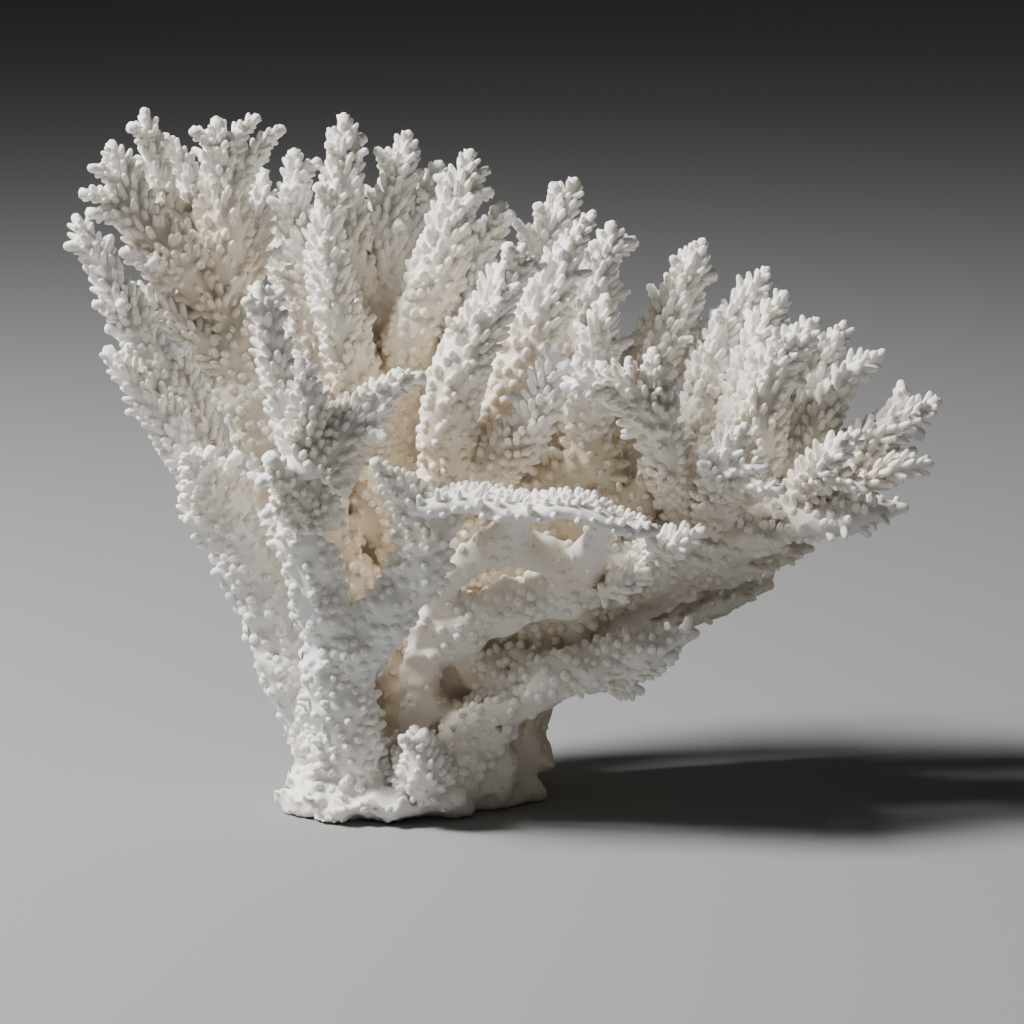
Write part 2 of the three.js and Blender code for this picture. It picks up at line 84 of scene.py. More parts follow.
# How cups differ from each other
CUP_RISE = 0.15  # how much every cup turns upwards
CUP_LENGTHS = (0.7, 1.25)  # least and greatest length, of the usual one
CUP_WIDTHS = (0.88, 1.12)  # the same of the radius
BUD_SHORTER = 0.45  # share of its length that a bud has still to grow
BUD_SLIMMER = 0.15  # the same of its radius
SHORT_BRANCH = (0.65, 60.0)  # share of the length that cups have on the shortest branch, and how it grows
EDGE = (0.7, 0.95)  # where the edge of a flat section begins and is full
TIP_CUP = (2.6, 3.2)  # depth below a branch's end where its last cup stands, and the length of that cup

# Lumps of the skin: height and distance apart
FROND_LUMPS = (0.9, 6.0)
LARGE_LUMPS = (2.2, 9.0)
MIDDLE_LUMPS = (1.2, 5.0)
SMALL_LUMPS = (0.5, 2.7)
CRUST_RIDGES = (4.0, 7.0)
CRUST_PITS = (2.6, 3.0)
CRUST_SUNK = 1.4  # how far the crust lies under the skin between its ridges

# Sprigs: short side shoots on the young part of a frond, each a golden angle on from the one above
SPRIG_FIRST = 12.0  # from the frond's tip down to its topmost sprig
SPRIG_STEP = 7.5
SPRIG_SHARE = 0.55  # share of the frond's length that carries sprigs
SPRIG_LEAN = math.radians(42.0)  # angle from the frond's line
SPRIG_REACH = 4.8  # how far the tip of a sprig stands off the frond's skin

FOOT_TILT = 0.22  # rise of the mound's top towards +X
TIP_SHARE = 0.85  # most that the skin under a tip's cup has, of a slender branch's girth
SHELF_TEETH = 1.2  # how much longer cups are on the edges of shelves
FLARE_SHARE = 0.25  # most that a branch flares at its fork, of its own girth
SKIN_STEP = 0.95  # spacing of the field that the limbs' skin is read from


class ThinAlong(Enum):
    """The way that a branch's section is thin."""

    X = (1.0, 0.0, 0.0)
    Y = (0.0, 1.0, 0.0)
    Z = (0.0, 0.0, 1.0)


def unit(vectors: Array) -> Array:
    """Returns the vectors, each divided by its own length."""
    return vectors / np.maximum(np.linalg.norm(vectors, axis=-1, keepdims=True), 1e-9)


def ease(values: Array, low: float, high: float) -> Array:
    """Eases from 0 at low to 1 at high.

    Args:
        values: What is eased.
        low: Where the result leaves 0.
        high: Where the result reaches 1.

    Returns:
        3t^2 - 2t^3 of the share t of the way from low to high.
    """
    share = np.clip((values - low) / (high - low), 0.0, 1.0)
    return share * share * (3.0 - 2.0 * share)


def lumps(points: Array, size: float, phase: float) -> Array:
    """Uneven lumps in space: three sine waves that cross at odd angles, multiplied in pairs and averaged.

    Args:
        points: Places in millimetres.
        size: About how far apart the lumps are.
        phase: Moves the pattern.

    Returns:
        A value from -1 to 1 for each place.
    """
    turn = 2.0 * math.pi / (2.0 * size)
    waves = np.array([[1.0, 0.43, -0.31], [-0.37, 1.0, 0.52], [0.29, -0.47, 1.0]]) * turn
    a, b, c = (np.sin(points @ wave + phase * (k + 1)) for k, wave in enumerate(waves))
    return (a * b + b * c + c * a) / 3.0 + 0.3 * np.sin(points @ waves.sum(0) * 0.6 + phase)


class Line:
    """A smooth line through given points, read by the share of its length."""

    STEPS = 24

    def __init__(self, points: Sequence[Point] | Array) -> None:
        """Works the line out as a uniform Catmull-Rom curve, its ends carried straight on.

        Args:
            points: The points that the line goes through, in millimetres.
        """
        knots = np.asarray(points, float)
        knots = np.vstack([2 * knots[0] - knots[1], knots, 2 * knots[-1] - knots[-2]])
        before, start, end, after = (knots[k : len(knots) - 3 + k, None] for k in range(4))
        leave, arrive = (end - before) / 2, (after - start) / 2
        t = np.linspace(0, 1, self.STEPS, endpoint=False)[:, None]
        spans = (
            (2 * start - 2 * end + leave + arrive) * t**3
            + (3 * end - 3 * start - 2 * leave - arrive) * t**2
            + leave * t
            + start
        )
        self.points = np.vstack([spans.reshape(-1, 3), knots[-2]])
        self.reach = np.concatenate([[0], np.cumsum(np.linalg.norm(np.diff(self.points, axis=0), axis=1))])
        self.length = float(self.reach[-1])

    def at(self, share: Array | float) -> Array:
        """Returns the points at these shares of the length."""
        along = np.asarray(share) * self.length
        return np.stack([np.interp(along, self.reach, self.points[:, k]) for k in range(3)], -1)

    def heading(self, share: Array | float) -> Array:
        """Returns the line's direction at these shares of the length."""
        share = np.asarray(share)
        return unit(self.at(np.minimum(share + 0.02, 1)) - self.at(np.maximum(share - 0.02, 0)))


@dataclass
class Shell:
    """Points and faces of a surface, with what its finish reads at each point.

    Attributes:
        points: One row for each point, in millimetres.
        corners: The points of all faces, one face after another.
        sizes: How many corners each face has.
        cream: From 0 on white young growth to 1 on cream old skeleton.
        pit_shade: Painted shade, from 0 on the outside to 1 at the bottom of a cup.
    """

    points: Array
    corners: Array
    sizes: Array
    cream: Array
    pit_shade: Array

    @classmethod
    def joined(cls, shells: Iterable["Shell"]) -> "Shell":
        """Joins shells to one, with each shell's corners counted on from those before it."""
        parts = [s for s in shells if len(s.points)]
        starts = np.cumsum([0] + [len(s.points) for s in parts[:-1]])
        return cls(
            np.vstack([s.points for s in parts]),
            np.concatenate([s.corners + start for s, start in zip(parts, starts)]),
            np.concatenate([s.sizes for s in parts]),
            np.concatenate([s.cream for s in parts]),
            np.concatenate([s.pit_shade for s in parts]),
        )

    @property
    def triangles(self) -> int:
        """How many triangles the faces come to."""
        return int((self.sizes - 2).sum())

    def to_piece(self, name: str, material: bpy.types.Material) -> bpy.types.Object:
        """Makes the shell a smooth mesh in metres.

        Args:
            name: The piece's name.
            material: The finish of all its faces.

        Returns:
            The piece, linked to the scene.
        """
        mesh = bpy.data.meshes.new(name)
        mesh.vertices.add(len(self.points))
        mesh.loops.add(len(self.corners))
        mesh.polygons.add(len(self.sizes))
        mesh.vertices.foreach_set("co", (self.points * MM).astype(np.float32).ravel())
        mesh.loops.foreach_set("vertex_index", self.corners.astype(np.int32))
        starts = np.concatenate([[0], np.cumsum(self.sizes)[:-1]])
        mesh.polygons.foreach_set("loop_start", starts.astype(np.int32))
        mesh.polygons.foreach_set("use_smooth", np.ones(len(self.sizes), bool))
        for label, values in (("cream", self.cream), ("pit_shade", self.pit_shade)):
            layer = mesh.attributes.new(label, "FLOAT", "POINT")
            layer.data.foreach_set("value", values.astype(np.float32))
        mesh.update(calc_edges=True)
        mesh.validate()
        mesh.materials.append(material)
        piece = bpy.data.objects.new(name, mesh)
        bpy.context.scene.collection.objects.link(piece)
        return piece


def tube_faces(rows: int, columns: int) -> tuple[Array, Array]:
    """Faces of a closed tube: a quad between neighbours on a grid, and one face over each end.

    Args:
        rows: Rings along the tube.
        columns: Points round each ring.

    Returns:
        The corners of all faces, and how many each face has.
    """
    row, column = np.meshgrid(np.arange(rows - 1), np.arange(columns), indexing="ij")
    onward = (column + 1) % columns
    quads = np.stack([row * columns + column, row * columns + onward], -1)
    quads = np.concatenate([quads, quads[..., ::-1] + columns], -1).reshape(-1)
    ring = np.arange(columns)
    corners = np.concatenate([quads, ring[::-1], ring + (rows - 1) * columns])
    sizes = np.concatenate([np.full((rows - 1) * columns, 4), [columns, columns]])
    return corners, sizes


@dataclass(frozen=True)
class CupProfile:
    """The outline of a cup, from its root over the lip into the pit, one value for each ring.

    Attributes:
        rises: Height as a share of the cup's length.
        drops: What is taken off that height, as a share of the cup's radius.
        widths: Share of the cup's radius.
        flared: How much of the root's flare the ring has.
        pit_shade: Painted shade, from 0 outside to 1 in the pit.
    """

    rises: tuple[float, ...]
    drops: tuple[float, ...]
    widths: tuple[float, ...]
    flared: tuple[float, ...]
    pit_shade: tuple[float, ...]


FINGER = CupProfile(
    rises=(0, 0.58, 0.9, 1),
    drops=(0.6, 0, 0, 0),
    widths=(1, 0.97, 0.7, 0.3),
    flared=(1, 0.35, 0, 0),
    pit_shade=(0, 0, 0, 0.8),
)
NIPPLE = CupProfile(
    rises=(0, 0.3, 0.8, 1, 1),
    drops=(0.7, 0.1, 0, 0, 0.3),
    widths=(1, 1, 0.82, 0.45, 0.22),
    flared=(1, 0.5, 0.1, 0, 0),
    pit_shade=(0, 0, 0, 0, 1),
)


@dataclass
class Cups:
    """Many cups: short tubes with a round lip and a pit, one row for each.

    Attributes:
        root: Where each cup stands on the skin.
        out: The way that it points.
        radius: Its radius under the lip.
        length: From root to lip.
        flare: How much wider than that its root is.
        cream: As on the skin around it.
    """

    root: Array
    out: Array
    radius: Array
    length: Array
    flare: Array
    cream: Array

    NAMES = ("root", "out", "radius", "length", "flare", "cream")
    SIDES = 6
    WHITER = 0.45  # how much cream is lost from a cup's root to its lip

    @classmethod
    def joined(cls, groups: Sequence["Cups"]) -> "Cups":
        """Joins groups of cups to one."""
        return cls(*(np.concatenate([getattr(g, name) for g in groups]) for name in cls.NAMES))

    def kept(self, chosen: Array) -> "Cups":
        """Returns only the chosen cups."""
        return Cups(*(getattr(self, name)[chosen] for name in self.NAMES))

    def shell(self, profile: CupProfile) -> Shell:
        """Turns a profile about each cup's own direction.

        A ring's point is root + direction * height + width * (cos, sin), where height is
        rise * length - drop * radius and width is radius * (width + flared * (flare - 1)).

        Args:
            profile: The outline that is turned.

        Returns:
            All cups as one shell.
        """
        rises, pit_shade = np.array(profile.rises), np.array(profile.pit_shade)
        flared = np.array(profile.flared) * (self.flare[:, None] - 1)
        radii = self.radius[:, None] * (np.array(profile.widths) + flared)
        heights = rises * self.length[:, None] - np.array(profile.drops) * self.radius[:, None]
        side = unit(np.cross(self.out, OBLIQUE))
        front = np.cross(self.out, side)
        angle = 2 * math.pi * np.arange(self.SIDES) / self.SIDES
        round_ = np.cos(angle)[:, None] * side[:, None] + np.sin(angle)[:, None] * front[:, None]
        points = (
            self.root[:, None, None]
            + heights[:, :, None, None] * self.out[:, None, None]
            + radii[:, :, None, None] * round_[:, None]
        )
        count, rings = radii.shape
        corners, sizes = tube_faces(rings, self.SIDES)
        corners = np.concatenate([corners[: -2 * self.SIDES], corners[-self.SIDES :]])
        sizes = np.concatenate([sizes[:-2], sizes[-1:]])
        starts = rings * self.SIDES * np.arange(count)
        cream = self.cream[:, None] * (1 - self.WHITER * rises)
        return Shell(
            points.reshape(-1, 3),
            (corners[None] + starts[:, None]).reshape(-1),
            np.tile(sizes, count),
            np.repeat(cream, self.SIDES, axis=1).reshape(-1),
            np.tile(np.repeat(pit_shade, self.SIDES), count),
        )


@dataclass(frozen=True)
class CupHabit:
    """How cups grow on a kind of branch, from its tip down to its old skin.

    Attributes:
        area: Skin that one cup has to itself, in square millimetres.
        young: Length of branch below the tip where cups are young.
        radius: Radius at the lip.
        lengths: Length of a cup near the tip and on old skin.
        leans: Degrees by which a cup leans towards the tip, near it and on old skin.
        flares: Width of the root against the lip, near the tip and on old skin.
        kept_when_old: Share of the cups that still stand on old skin.
    """

    area: float
    young: float
    radius: float
    lengths: tuple[float, float]
    leans: tuple[float, float]
    flares: tuple[float, float]
    kept_when_old: float


FROND_CUPS = CupHabit(5.6, 42.0, 0.88, (3.7, 1.0), (50.0, 32.0), (1.1, 1.7), 0.65)
TWIG_CUPS = CupHabit(4.8, 30.0, 0.75, (2.6, 2.2), (50.0, 44.0), (1.1, 1.2), 0.9)
LOBE_CUPS = CupHabit(5.8, 40.0, 0.82, (2.3, 1.1), (46.0, 22.0), (1.3, 2.0), 0.85)
LIMB_CUPS = CupHabit(7.6, 34.0, 0.82, (1.9, 0.85), (35.0, 8.0), (1.5, 2.0), 0.9)
OLD_CUPS = CupHabit(10.0, 18.0, 0.75, (1.4, 0.5), (25.0, 5.0), (1.5, 1.8), 0.35)
CREST_CUPS = CupHabit(2.8, 60.0, 0.75, (1.5, 1.3), (20.0, 15.0), (1.2, 1.4), 1.0)


@dataclass(frozen=True)
class Branch:
    """A branch: a section carried along a line.

    Attributes:
        line: Its middle line.
        girth: Radius at the start and at the end.
        flat: How much wider than thick the section is.
        thin: The way that it is thin.
        cream: Creaminess at the start and at the tip.
        taper: Length over which it narrows to the cup at its tip.
        edge_teeth: How much longer cups are on the edges of a flat branch.
    """

    line: Line
    girth: tuple[float, float]
    flat: float
    thin: ThinAlong
    cream: tuple[float, float]
    taper: float
    edge_teeth: float = 0.0

    def radius(self, share: Array) -> Array:
        """Radius along the branch: even, narrowing to the tip's cup, and flared at the fork."""
        body = self.girth[0] + (self.girth[1] - self.girth[0]) * share
        below = (1 - share) * self.line.length - TIP_BARE
        fullness = np.clip(below / self.taper, 0, 1) ** TAPER_POWER
        flare = min(FORK_FLARE, FLARE_SHARE * self.girth[0]) / self.flat
        flare = flare * np.exp(-share * self.line.length / FORK_FLARE_LENGTH)
        return self.tip_radius + (body - self.tip_radius) * fullness + flare

    @property
    def tip_radius(self) -> float:
        """Radius of the skin under the cup that ends the branch."""
        return min(TIP_RADIUS, TIP_SHARE * self.girth[1])

    def section(self, share: Array) -> tuple[Array, Array, Array]:
        """Returns the branch's own directions: wide, thin and along."""
        along = self.line.heading(share)
        wide = unit(np.cross(np.array(self.thin.value), along))
        return wide, np.cross(along, wide), along

    def creaminess(self, share: Array) -> Array:
        """Cream at the start, white at the tip, changing most in the middle."""
        return self.cream[0] + (self.cream[1] - self.cream[0]) * ease(share, 0.15, 0.85)

    def skin(self, step: float, columns: int) -> Shell:
        """The skin: point = line + radius * (flat * cos * wide + sin * thin), made uneven by lumps.

        What would lie under the floor is moved up to it.

        Args:
            step: Distance between rings in millimetres.
            columns: Points round each ring.

        Returns:
            A closed tube.
        """
        rows = max(6, int(self.line.length / step))
        share = np.linspace(0, 1, rows)
        angle = 2 * math.pi * np.arange(columns) / columns
        wide, thin, _ = self.section(share)
        out = self.flat * np.cos(angle)[:, None] * wide[:, None] + np.sin(angle)[:, None] * thin[:, None]
        points = self.line.at(share)[:, None] + self.radius(share)[:, None, None] * out
        height, apart = FROND_LUMPS
        points = points + height * lumps(points, apart, 0.7)[..., None] * out
        points[..., 2] = np.maximum(points[..., 2], 0.0)
        cream = np.repeat(self.creaminess(share)[:, None], columns, axis=1)
        corners, sizes = tube_faces(rows, columns)
        flat_cream = cream.reshape(-1)
        return Shell(points.reshape(-1, 3), corners, sizes, flat_cream, np.zeros_like(flat_cream))

    def cups(self, habit: CupHabit, rng: np.random.Generator) -> Cups:
        """Sets cups along the branch, each a golden angle on from the one before.

        Equal skin areas between cups give their places along the line. Towards the tip cups are
        longer and lean more. A last cup, along the line, ends the branch.

        Args:
            habit: How cups grow here.
            rng: Where the unevenness comes from.

        Returns:
            The cups, with the one at the tip last.
        """
        shares = np.linspace(0.0, 0.985, 240)
        round_ = 2 * math.pi * self.radius(shares) * (1 + self.flat) / 2
        areas = np.cumsum(round_) * self.line.length * (shares[1] - shares[0])
        count = max(1, int(areas[-1] / habit.area))
        number = np.arange(count)
        share = np.interp((number + rng.uniform(0.2, 0.8, count)) * habit.area, areas, shares)
        angle = number * GOLDEN_ANGLE + rng.normal(0, 0.18, count)
        wide, thin, along = self.section(share)
        cos, sin = np.cos(angle)[:, None], np.sin(angle)[:, None]
        reach = self.radius(share)[:, None]
        root = self.line.at(share) + reach * (self.flat * cos * wide + sin * thin)
        off = unit(cos / self.flat * wide + sin * thin)
        old = ease((1 - share) * self.line.length, 0.25 * habit.young, 1.2 * habit.young)
        lean = np.radians(habit.leans[0] + (habit.leans[1] - habit.leans[0]) * old)
        lean = (lean + rng.normal(0, 0.12, count))[:, None]
        out = unit(np.cos(lean) * off + np.sin(lean) * along + CUP_RISE * UP)
        length = habit.lengths[0] + (habit.lengths[1] - habit.lengths[0]) * old
        shorter = min(1.0, SHORT_BRANCH[0] + self.line.length / SHORT_BRANCH[1])
        length = length * rng.uniform(*CUP_LENGTHS, count) * shorter
        below = (1 - share) * self.line.length
        budding = 1 - ease(below, TIP_BARE, BUD_LENGTH)
        length = length * (1 - BUD_SHORTER * budding)
        length = length * (1 + self.edge_teeth * ease(np.abs(np.cos(angle)), *EDGE))
        flare = habit.flares[0] + (habit.flares[1] - habit.flares[0]) * old
        radius = habit.radius * rng.uniform(*CUP_WIDTHS, count) * (1 - BUD_SLIMMER * budding)
        stands = (rng.random(count) < 1 + (habit.kept_when_old - 1) * old) & (below > TIP_BARE)
        grown = Cups(root, out, radius, length, flare, self.creaminess(share)).kept(stands)
        end = np.array([1.0])
        depth, reach = TIP_CUP
        tip = Cups(
            self.line.at(end) - depth * self.line.heading(end),
            self.line.heading(end),
            np.array([self.tip_radius + 0.1]),
            np.array([reach]),
            np.ones(1),
            np.array([self.cream[1]]),
        )
        return Cups.joined([grown, tip])


class LimbField:
    """How far each place lies outside the skin of the foot and limbs, on a grid, negative inside.

    Limbs are joined by a smooth minimum: where two of them are nearer to each other than the fillet,
    the field is lowered between them, so that its zero level fills the crotch.
    """

    FAR = 30.0
    MARGIN = 9.0

    def __init__(self, low: Point, high: Point, step: float) -> None:
        """Sets up an empty grid.

        Args:
            low: Its lowest corner in millimetres.
            high: Its highest corner.
            step: Distance between its places.
        """
        self.low = np.array(low)
        self.step = step
        self.axes = [np.arange(a, b + step, step) for a, b in zip(low, high)]
        shape = [len(axis) for axis in self.axes]
        self.depth = np.full(shape, self.FAR, np.float32)
        self.cream = np.ones(shape, np.float32)
        self.stout = np.zeros(shape, np.float32)

    def window(self, low: Array, high: Array) -> tuple[slice, ...]:
        """Returns the part of the grid between two corners."""
        first = np.clip(np.floor((low - self.low) / self.step), 0, None).astype(int)
        last = np.ceil((high - self.low) / self.step).astype(int) + 1
        return tuple(slice(a, b) for a, b in zip(first, last))

    def blend(
        self,
        part: tuple[slice, ...],
        depth: Array,
        cream: Array | float,
        stout: Array | float,
        fillet: Array | float,
    ) -> None:
        """Joins another form to the field by a smooth minimum of the two depths.

        Args:
            part: Where the form is.
            depth: How far each place lies outside it.
            cream: Its creaminess.
            stout: Its radius.
            fillet: Reach of the fillet to what is already there.
        """
        share = np.clip(0.5 + 0.5 * (self.depth[part] - depth) / fillet, 0, 1)
        lowered = fillet * share * (1 - share)
        self.depth[part] = self.depth[part] * (1 - share) + depth * share - lowered
        self.cream[part] = self.cream[part] * (1 - share) + cream * share
        self.stout[part] = self.stout[part] * (1 - share) + stout * share

    def grow(self, branch: Branch, fillet: float) -> None:
        """Adds a branch, as the nearest of many flattened balls along its line.

        Args:
            branch: What is added.
            fillet: Reach of the fillets to what is already there, wider near the foot.
        """
        share = np.linspace(0, 1, max(8, int(branch.line.length / 1.5)))
        centre, radius, cream = branch.line.at(share), branch.radius(share), branch.creaminess(share)
        wide, thin, along = branch.section(share)
        reach = (radius * max(1.0, branch.flat) + self.MARGIN)[:, None]
        part = self.window((centre - reach).min(0), (centre + reach).max(0))
        x, y, z = np.meshgrid(*(axis[s] for axis, s in zip(self.axes, part)), indexing="ij")
        depth = np.full(x.shape, self.FAR, np.float32)
        colour = np.ones(x.shape, np.float32)
        stout = np.zeros(x.shape, np.float32)
        for k in range(len(share)):
            dx, dy, dz = x - centre[k, 0], y - centre[k, 1], z - centre[k, 2]
            across = (dx * wide[k, 0] + dy * wide[k, 1] + dz * wide[k, 2]) / branch.flat
            over = dx * thin[k, 0] + dy * thin[k, 1] + dz * thin[k, 2]
            onward = dx * along[k, 0] + dy * along[k, 1] + dz * along[k, 2]
            ball = np.sqrt(across**2 + over**2 + onward**2) - radius[k]
            nearer = ball < depth
            depth = np.where(nearer, ball, depth)
            colour = np.where(nearer, cream[k], colour)
            stout = np.where(nearer, radius[k], stout)
        low = 1 - ease(z, FOOT[2], 2 * FOOT[2])
        self.blend(part, depth, colour, stout, fillet + FOOT_FILLET * low)

    def add_foot(self, half_width: float, half_depth: float, height: float, cream: float) -> None:
        """Adds the foot: a mound whose spread on an uneven oval changes with height.

        Args:
            half_width: Half of its size across.
            half_depth: Half of its size from front to back.
            height: Its height.
            cream: Its creaminess.
        """
        x, y, z = np.meshgrid(*self.axes, indexing="ij")
        angle = np.arctan2(y / half_depth, x / half_width)
        uneven = 1 + 0.05 * np.cos(3 * angle + 0.6) + 0.03 * np.cos(5 * angle)
        uneven = uneven + 0.02 * np.cos(11 * angle + 1)
        spread = np.interp(z / (height + FOOT_TILT * x), FOOT_HEIGHTS, FOOT_SPREADS)
        oval = np.hypot(x / half_width, y / half_depth) / uneven
        depth = np.maximum((oval - spread) * half_depth, z - height - FOOT_TILT * x)
        self.blend((slice(None),) * 3, depth.astype(np.float32), cream, height, FORK_FILLET)

    def roughen(self) -> None:
        """Makes the skin uneven, then cuts it off flat at the floor.

        Large and small lumps are added to the depth, weaker on slender limbs. Near the foot, and less
        so on its right, ridges and pits are added where the lumps change sign.
        """
        places = np.stack(np.meshgrid(*self.axes, indexing="ij"), -1).astype(np.float32)
        uneven = LARGE_LUMPS[0] * lumps(places, LARGE_LUMPS[1], 0.4)
        uneven = uneven + MIDDLE_LUMPS[0] * lumps(places, MIDDLE_LUMPS[1], 1.3)
        uneven = ease(self.stout, 1.0, 6.5) * uneven
        uneven = uneven + SMALL_LUMPS[0] * lumps(places, SMALL_LUMPS[1], 1.9)
        self.depth += uneven.astype(np.float32)
        crust = (1 - ease(places[..., 2], 8.0, 30.0)) * (1 - 0.7 * ease(places[..., 0], -5.0, 12.0))
        ridges = CRUST_RIDGES[0] * np.abs(lumps(places, CRUST_RIDGES[1], 2.1))
        ridges = ridges + CRUST_PITS[0] * np.abs(lumps(places, CRUST_PITS[1], 0.9))
        self.depth += (crust * (ridges - CRUST_SUNK)).astype(np.float32)
        self.depth = np.maximum(self.depth, -places[..., 2])

    def swell(self, centres: Array, heights: Array, width: float) -> None:
        """Raises a round mound at each centre, by height * exp(-(distance / width)^2).

        Args:
            centres: Places on the skin.
            heights: Height of each mound.
            width: Their reach.
        """
        reach = math.ceil(2 * width / self.step)
        around = np.array(list(np.ndindex(*(2 * reach + 1,) * 3))) - reach
        cells = np.round((centres - self.low) / self.step).astype(int)[:, None] + around
        cells = np.clip(cells, 0, np.array(self.depth.shape) - 1)
        away = ((self.low + self.step * cells - centres[:, None]) ** 2).sum(-1)
        rise = heights[:, None] * np.exp(-away / width**2)
        np.subtract.at(self.depth, tuple(np.moveaxis(cells, -1, 0)), rise.astype(np.float32))

    def read(self, values: Array, points: Array) -> Array:
        """Reads values of the grid at any points, by weighing the eight places around each."""
        at = np.clip((points - self.low) / self.step, 0, np.array(values.shape) - 1.001)
        cell = at.astype(int)
        share = at - cell
        total = np.zeros(len(points))
        for corner in np.ndindex(2, 2, 2):
            weight = np.prod(np.where(corner, share, 1 - share), axis=1)
            total += weight * values[tuple((cell + corner).T)]
        return total

    def outward(self, points: Array) -> Array:
        """Returns the way out of the skin at these points: the slope of the field."""
        steps = np.eye(3) * self.step
        slope = [self.read(self.depth, points + s) - self.read(self.depth, points - s) for s in steps]
        return unit(np.stack(slope, -1))

    def landed(self, points: Array) -> Array:
        """Moves points along the slope of the field until they lie on the skin."""
        for _ in range(3):
            points = points - self.read(self.depth, points)[:, None] * self.outward(points)
        return points

    def skin(self) -> Shell:
        """The zero level as a net: a point in each cell that the skin crosses, a quad across each edge.

        A cell's point is the mean of the places where the skin crosses the cell's twelve edges. Each
        grid edge with one end inside has a quad between the points of the four cells around it.

        Returns:
            The closed skin.
        """
        inside = self.depth < 0
        corners = np.stack([inside[self._shift(c)] for c in np.ndindex(2, 2, 2)])
        cells = np.argwhere(corners.any(0) & ~corners.all(0))
        number = np.full(corners.shape[1:], -1)
        number[tuple(cells.T)] = np.arange(len(cells))
        total, crossed = np.zeros((len(cells), 3)), np.zeros((len(cells), 1))
        for axis in range(3):
            for corner in np.ndindex(2, 2, 2):
                if corner[axis]:
                    continue
                start = cells + corner
                end = start + np.eye(3, dtype=int)[axis]
                a, b = self.depth[tuple(start.T)], self.depth[tuple(end.T)]
                crosses = ((a < 0) != (b < 0))[:, None]
                share = (a / np.where(a == b, 1, a - b))[:, None]
                total += np.where(crosses, start + share * (end - start), 0)
                crossed += crosses
        points = self.low + self.step * total / crossed
        quads = np.vstack([self._quads(inside, number, axis) for axis in range(3)])
        return Shell(points, quads.reshape(-1), np.full(len(quads), 4),
                     self.read(self.cream, points), np.zeros(len(points)))

    @staticmethod
    def _shift(corner: Sequence[int]) -> tuple[slice, ...]:
        """Returns the slices that give every cell its value at one of its corners."""
        return tuple(slice(c, None if c else -1) for c in corner)

    @staticmethod
    def _quads(inside: Array, number: Array, axis: int) -> Array:
        """Returns the quads across the grid edges along one axis, with their faces outwards."""
        ahead = np.roll(inside, -1, axis)
        found = np.argwhere(inside != ahead)
        last = np.array(inside.shape) - 1
        found = found[(found > 0).all(1) & (found < last).all(1)]
        u, v = np.eye(3, dtype=int)[(axis + 1) % 3], np.eye(3, dtype=int)[(axis + 2) % 3]
        around = [number[tuple((found - offset).T)] for offset in (u + v, v, 0 * u, u)]
        quads = np.stack(around, 1)
        leaving = inside[tuple(found.T)]
        return np.where(leaving[:, None], quads, quads[:, ::-1])


@dataclass(frozen=True)
class Limb:
    """A limb of the colony.

    Attributes:
        name: Its name, which is also its solid's unless it is fused to another.
        path: The points that its line goes through, in millimetres.
        girth: Radius at the start and at the end.
        flat: How much wider than thick its section is.
        thin: The way that it is thin.
        cream: Creaminess at the start and at the tip.
    """

    name: str
    path: tuple[Point, ...]
    girth: tuple[float, float]
    flat: float
    thin: ThinAlong
    cream: tuple[float, float] = (0.5, 0.2)

    def branch(self) -> Branch:
        """Returns the limb as a branch."""
        teeth = SHELF_TEETH if self.flat >= SHELF_FLAT else 0.0
        return Branch(Line(self.path), self.girth, self.flat, self.thin, self.cream, LIMB_TAPER, teeth)


@dataclass(frozen=True)
class Frond:
    """A frond of the colony.

    Attributes:
        name: Its name.
        on: The branch that carries it.
        at: The share of that branch where it forks off.
        middle: A point half way along it, in millimetres.
        tip: Where it ends.
        girth: Its radius.
        flat: How much wider than thick its section is.
        twigs: The tips of its twigs.
        fused_to: The piece that it belongs to, where it has no piece of its own.
    """

    name: str
    on: str
    at: float
    middle: Point
    tip: Point
    girth: float
    flat: float
    twigs: tuple[Point, ...] = ()
    fused_to: str = ""

    @property
    def piece(self) -> str:
        """The solid that the frond is part of."""
        return self.fused_to or self.name


def sprig_tips(frond: Branch, phase: float) -> Array:
    """The tips of a frond's sprigs, a golden angle and an even step apart.

    Each tip is line + radius * out + reach * (cos(lean) * along + sin(lean) * out), where out is the
    section's way out at the sprig's angle.

    Args:
        frond: The branch that carries them.
        phase: Angle of the topmost one.

    Returns:
        One row for each tip.
    """
    count = max(0, int((SPRIG_SHARE * frond.line.length - SPRIG_FIRST) / SPRIG_STEP))
    number = np.arange(count)
    share = 1 - (SPRIG_FIRST + SPRIG_STEP * number) / frond.line.length
    wide, thin, along = frond.section(share)
    angle = (phase + number * GOLDEN_ANGLE)[:, None]
    out = frond.flat * np.cos(angle) * wide + np.sin(angle) * thin
    lean = math.cos(SPRIG_LEAN) * along + math.sin(SPRIG_LEAN) * out
    return frond.line.at(share) + frond.radius(share)[:, None] * out + SPRIG_REACH * lean


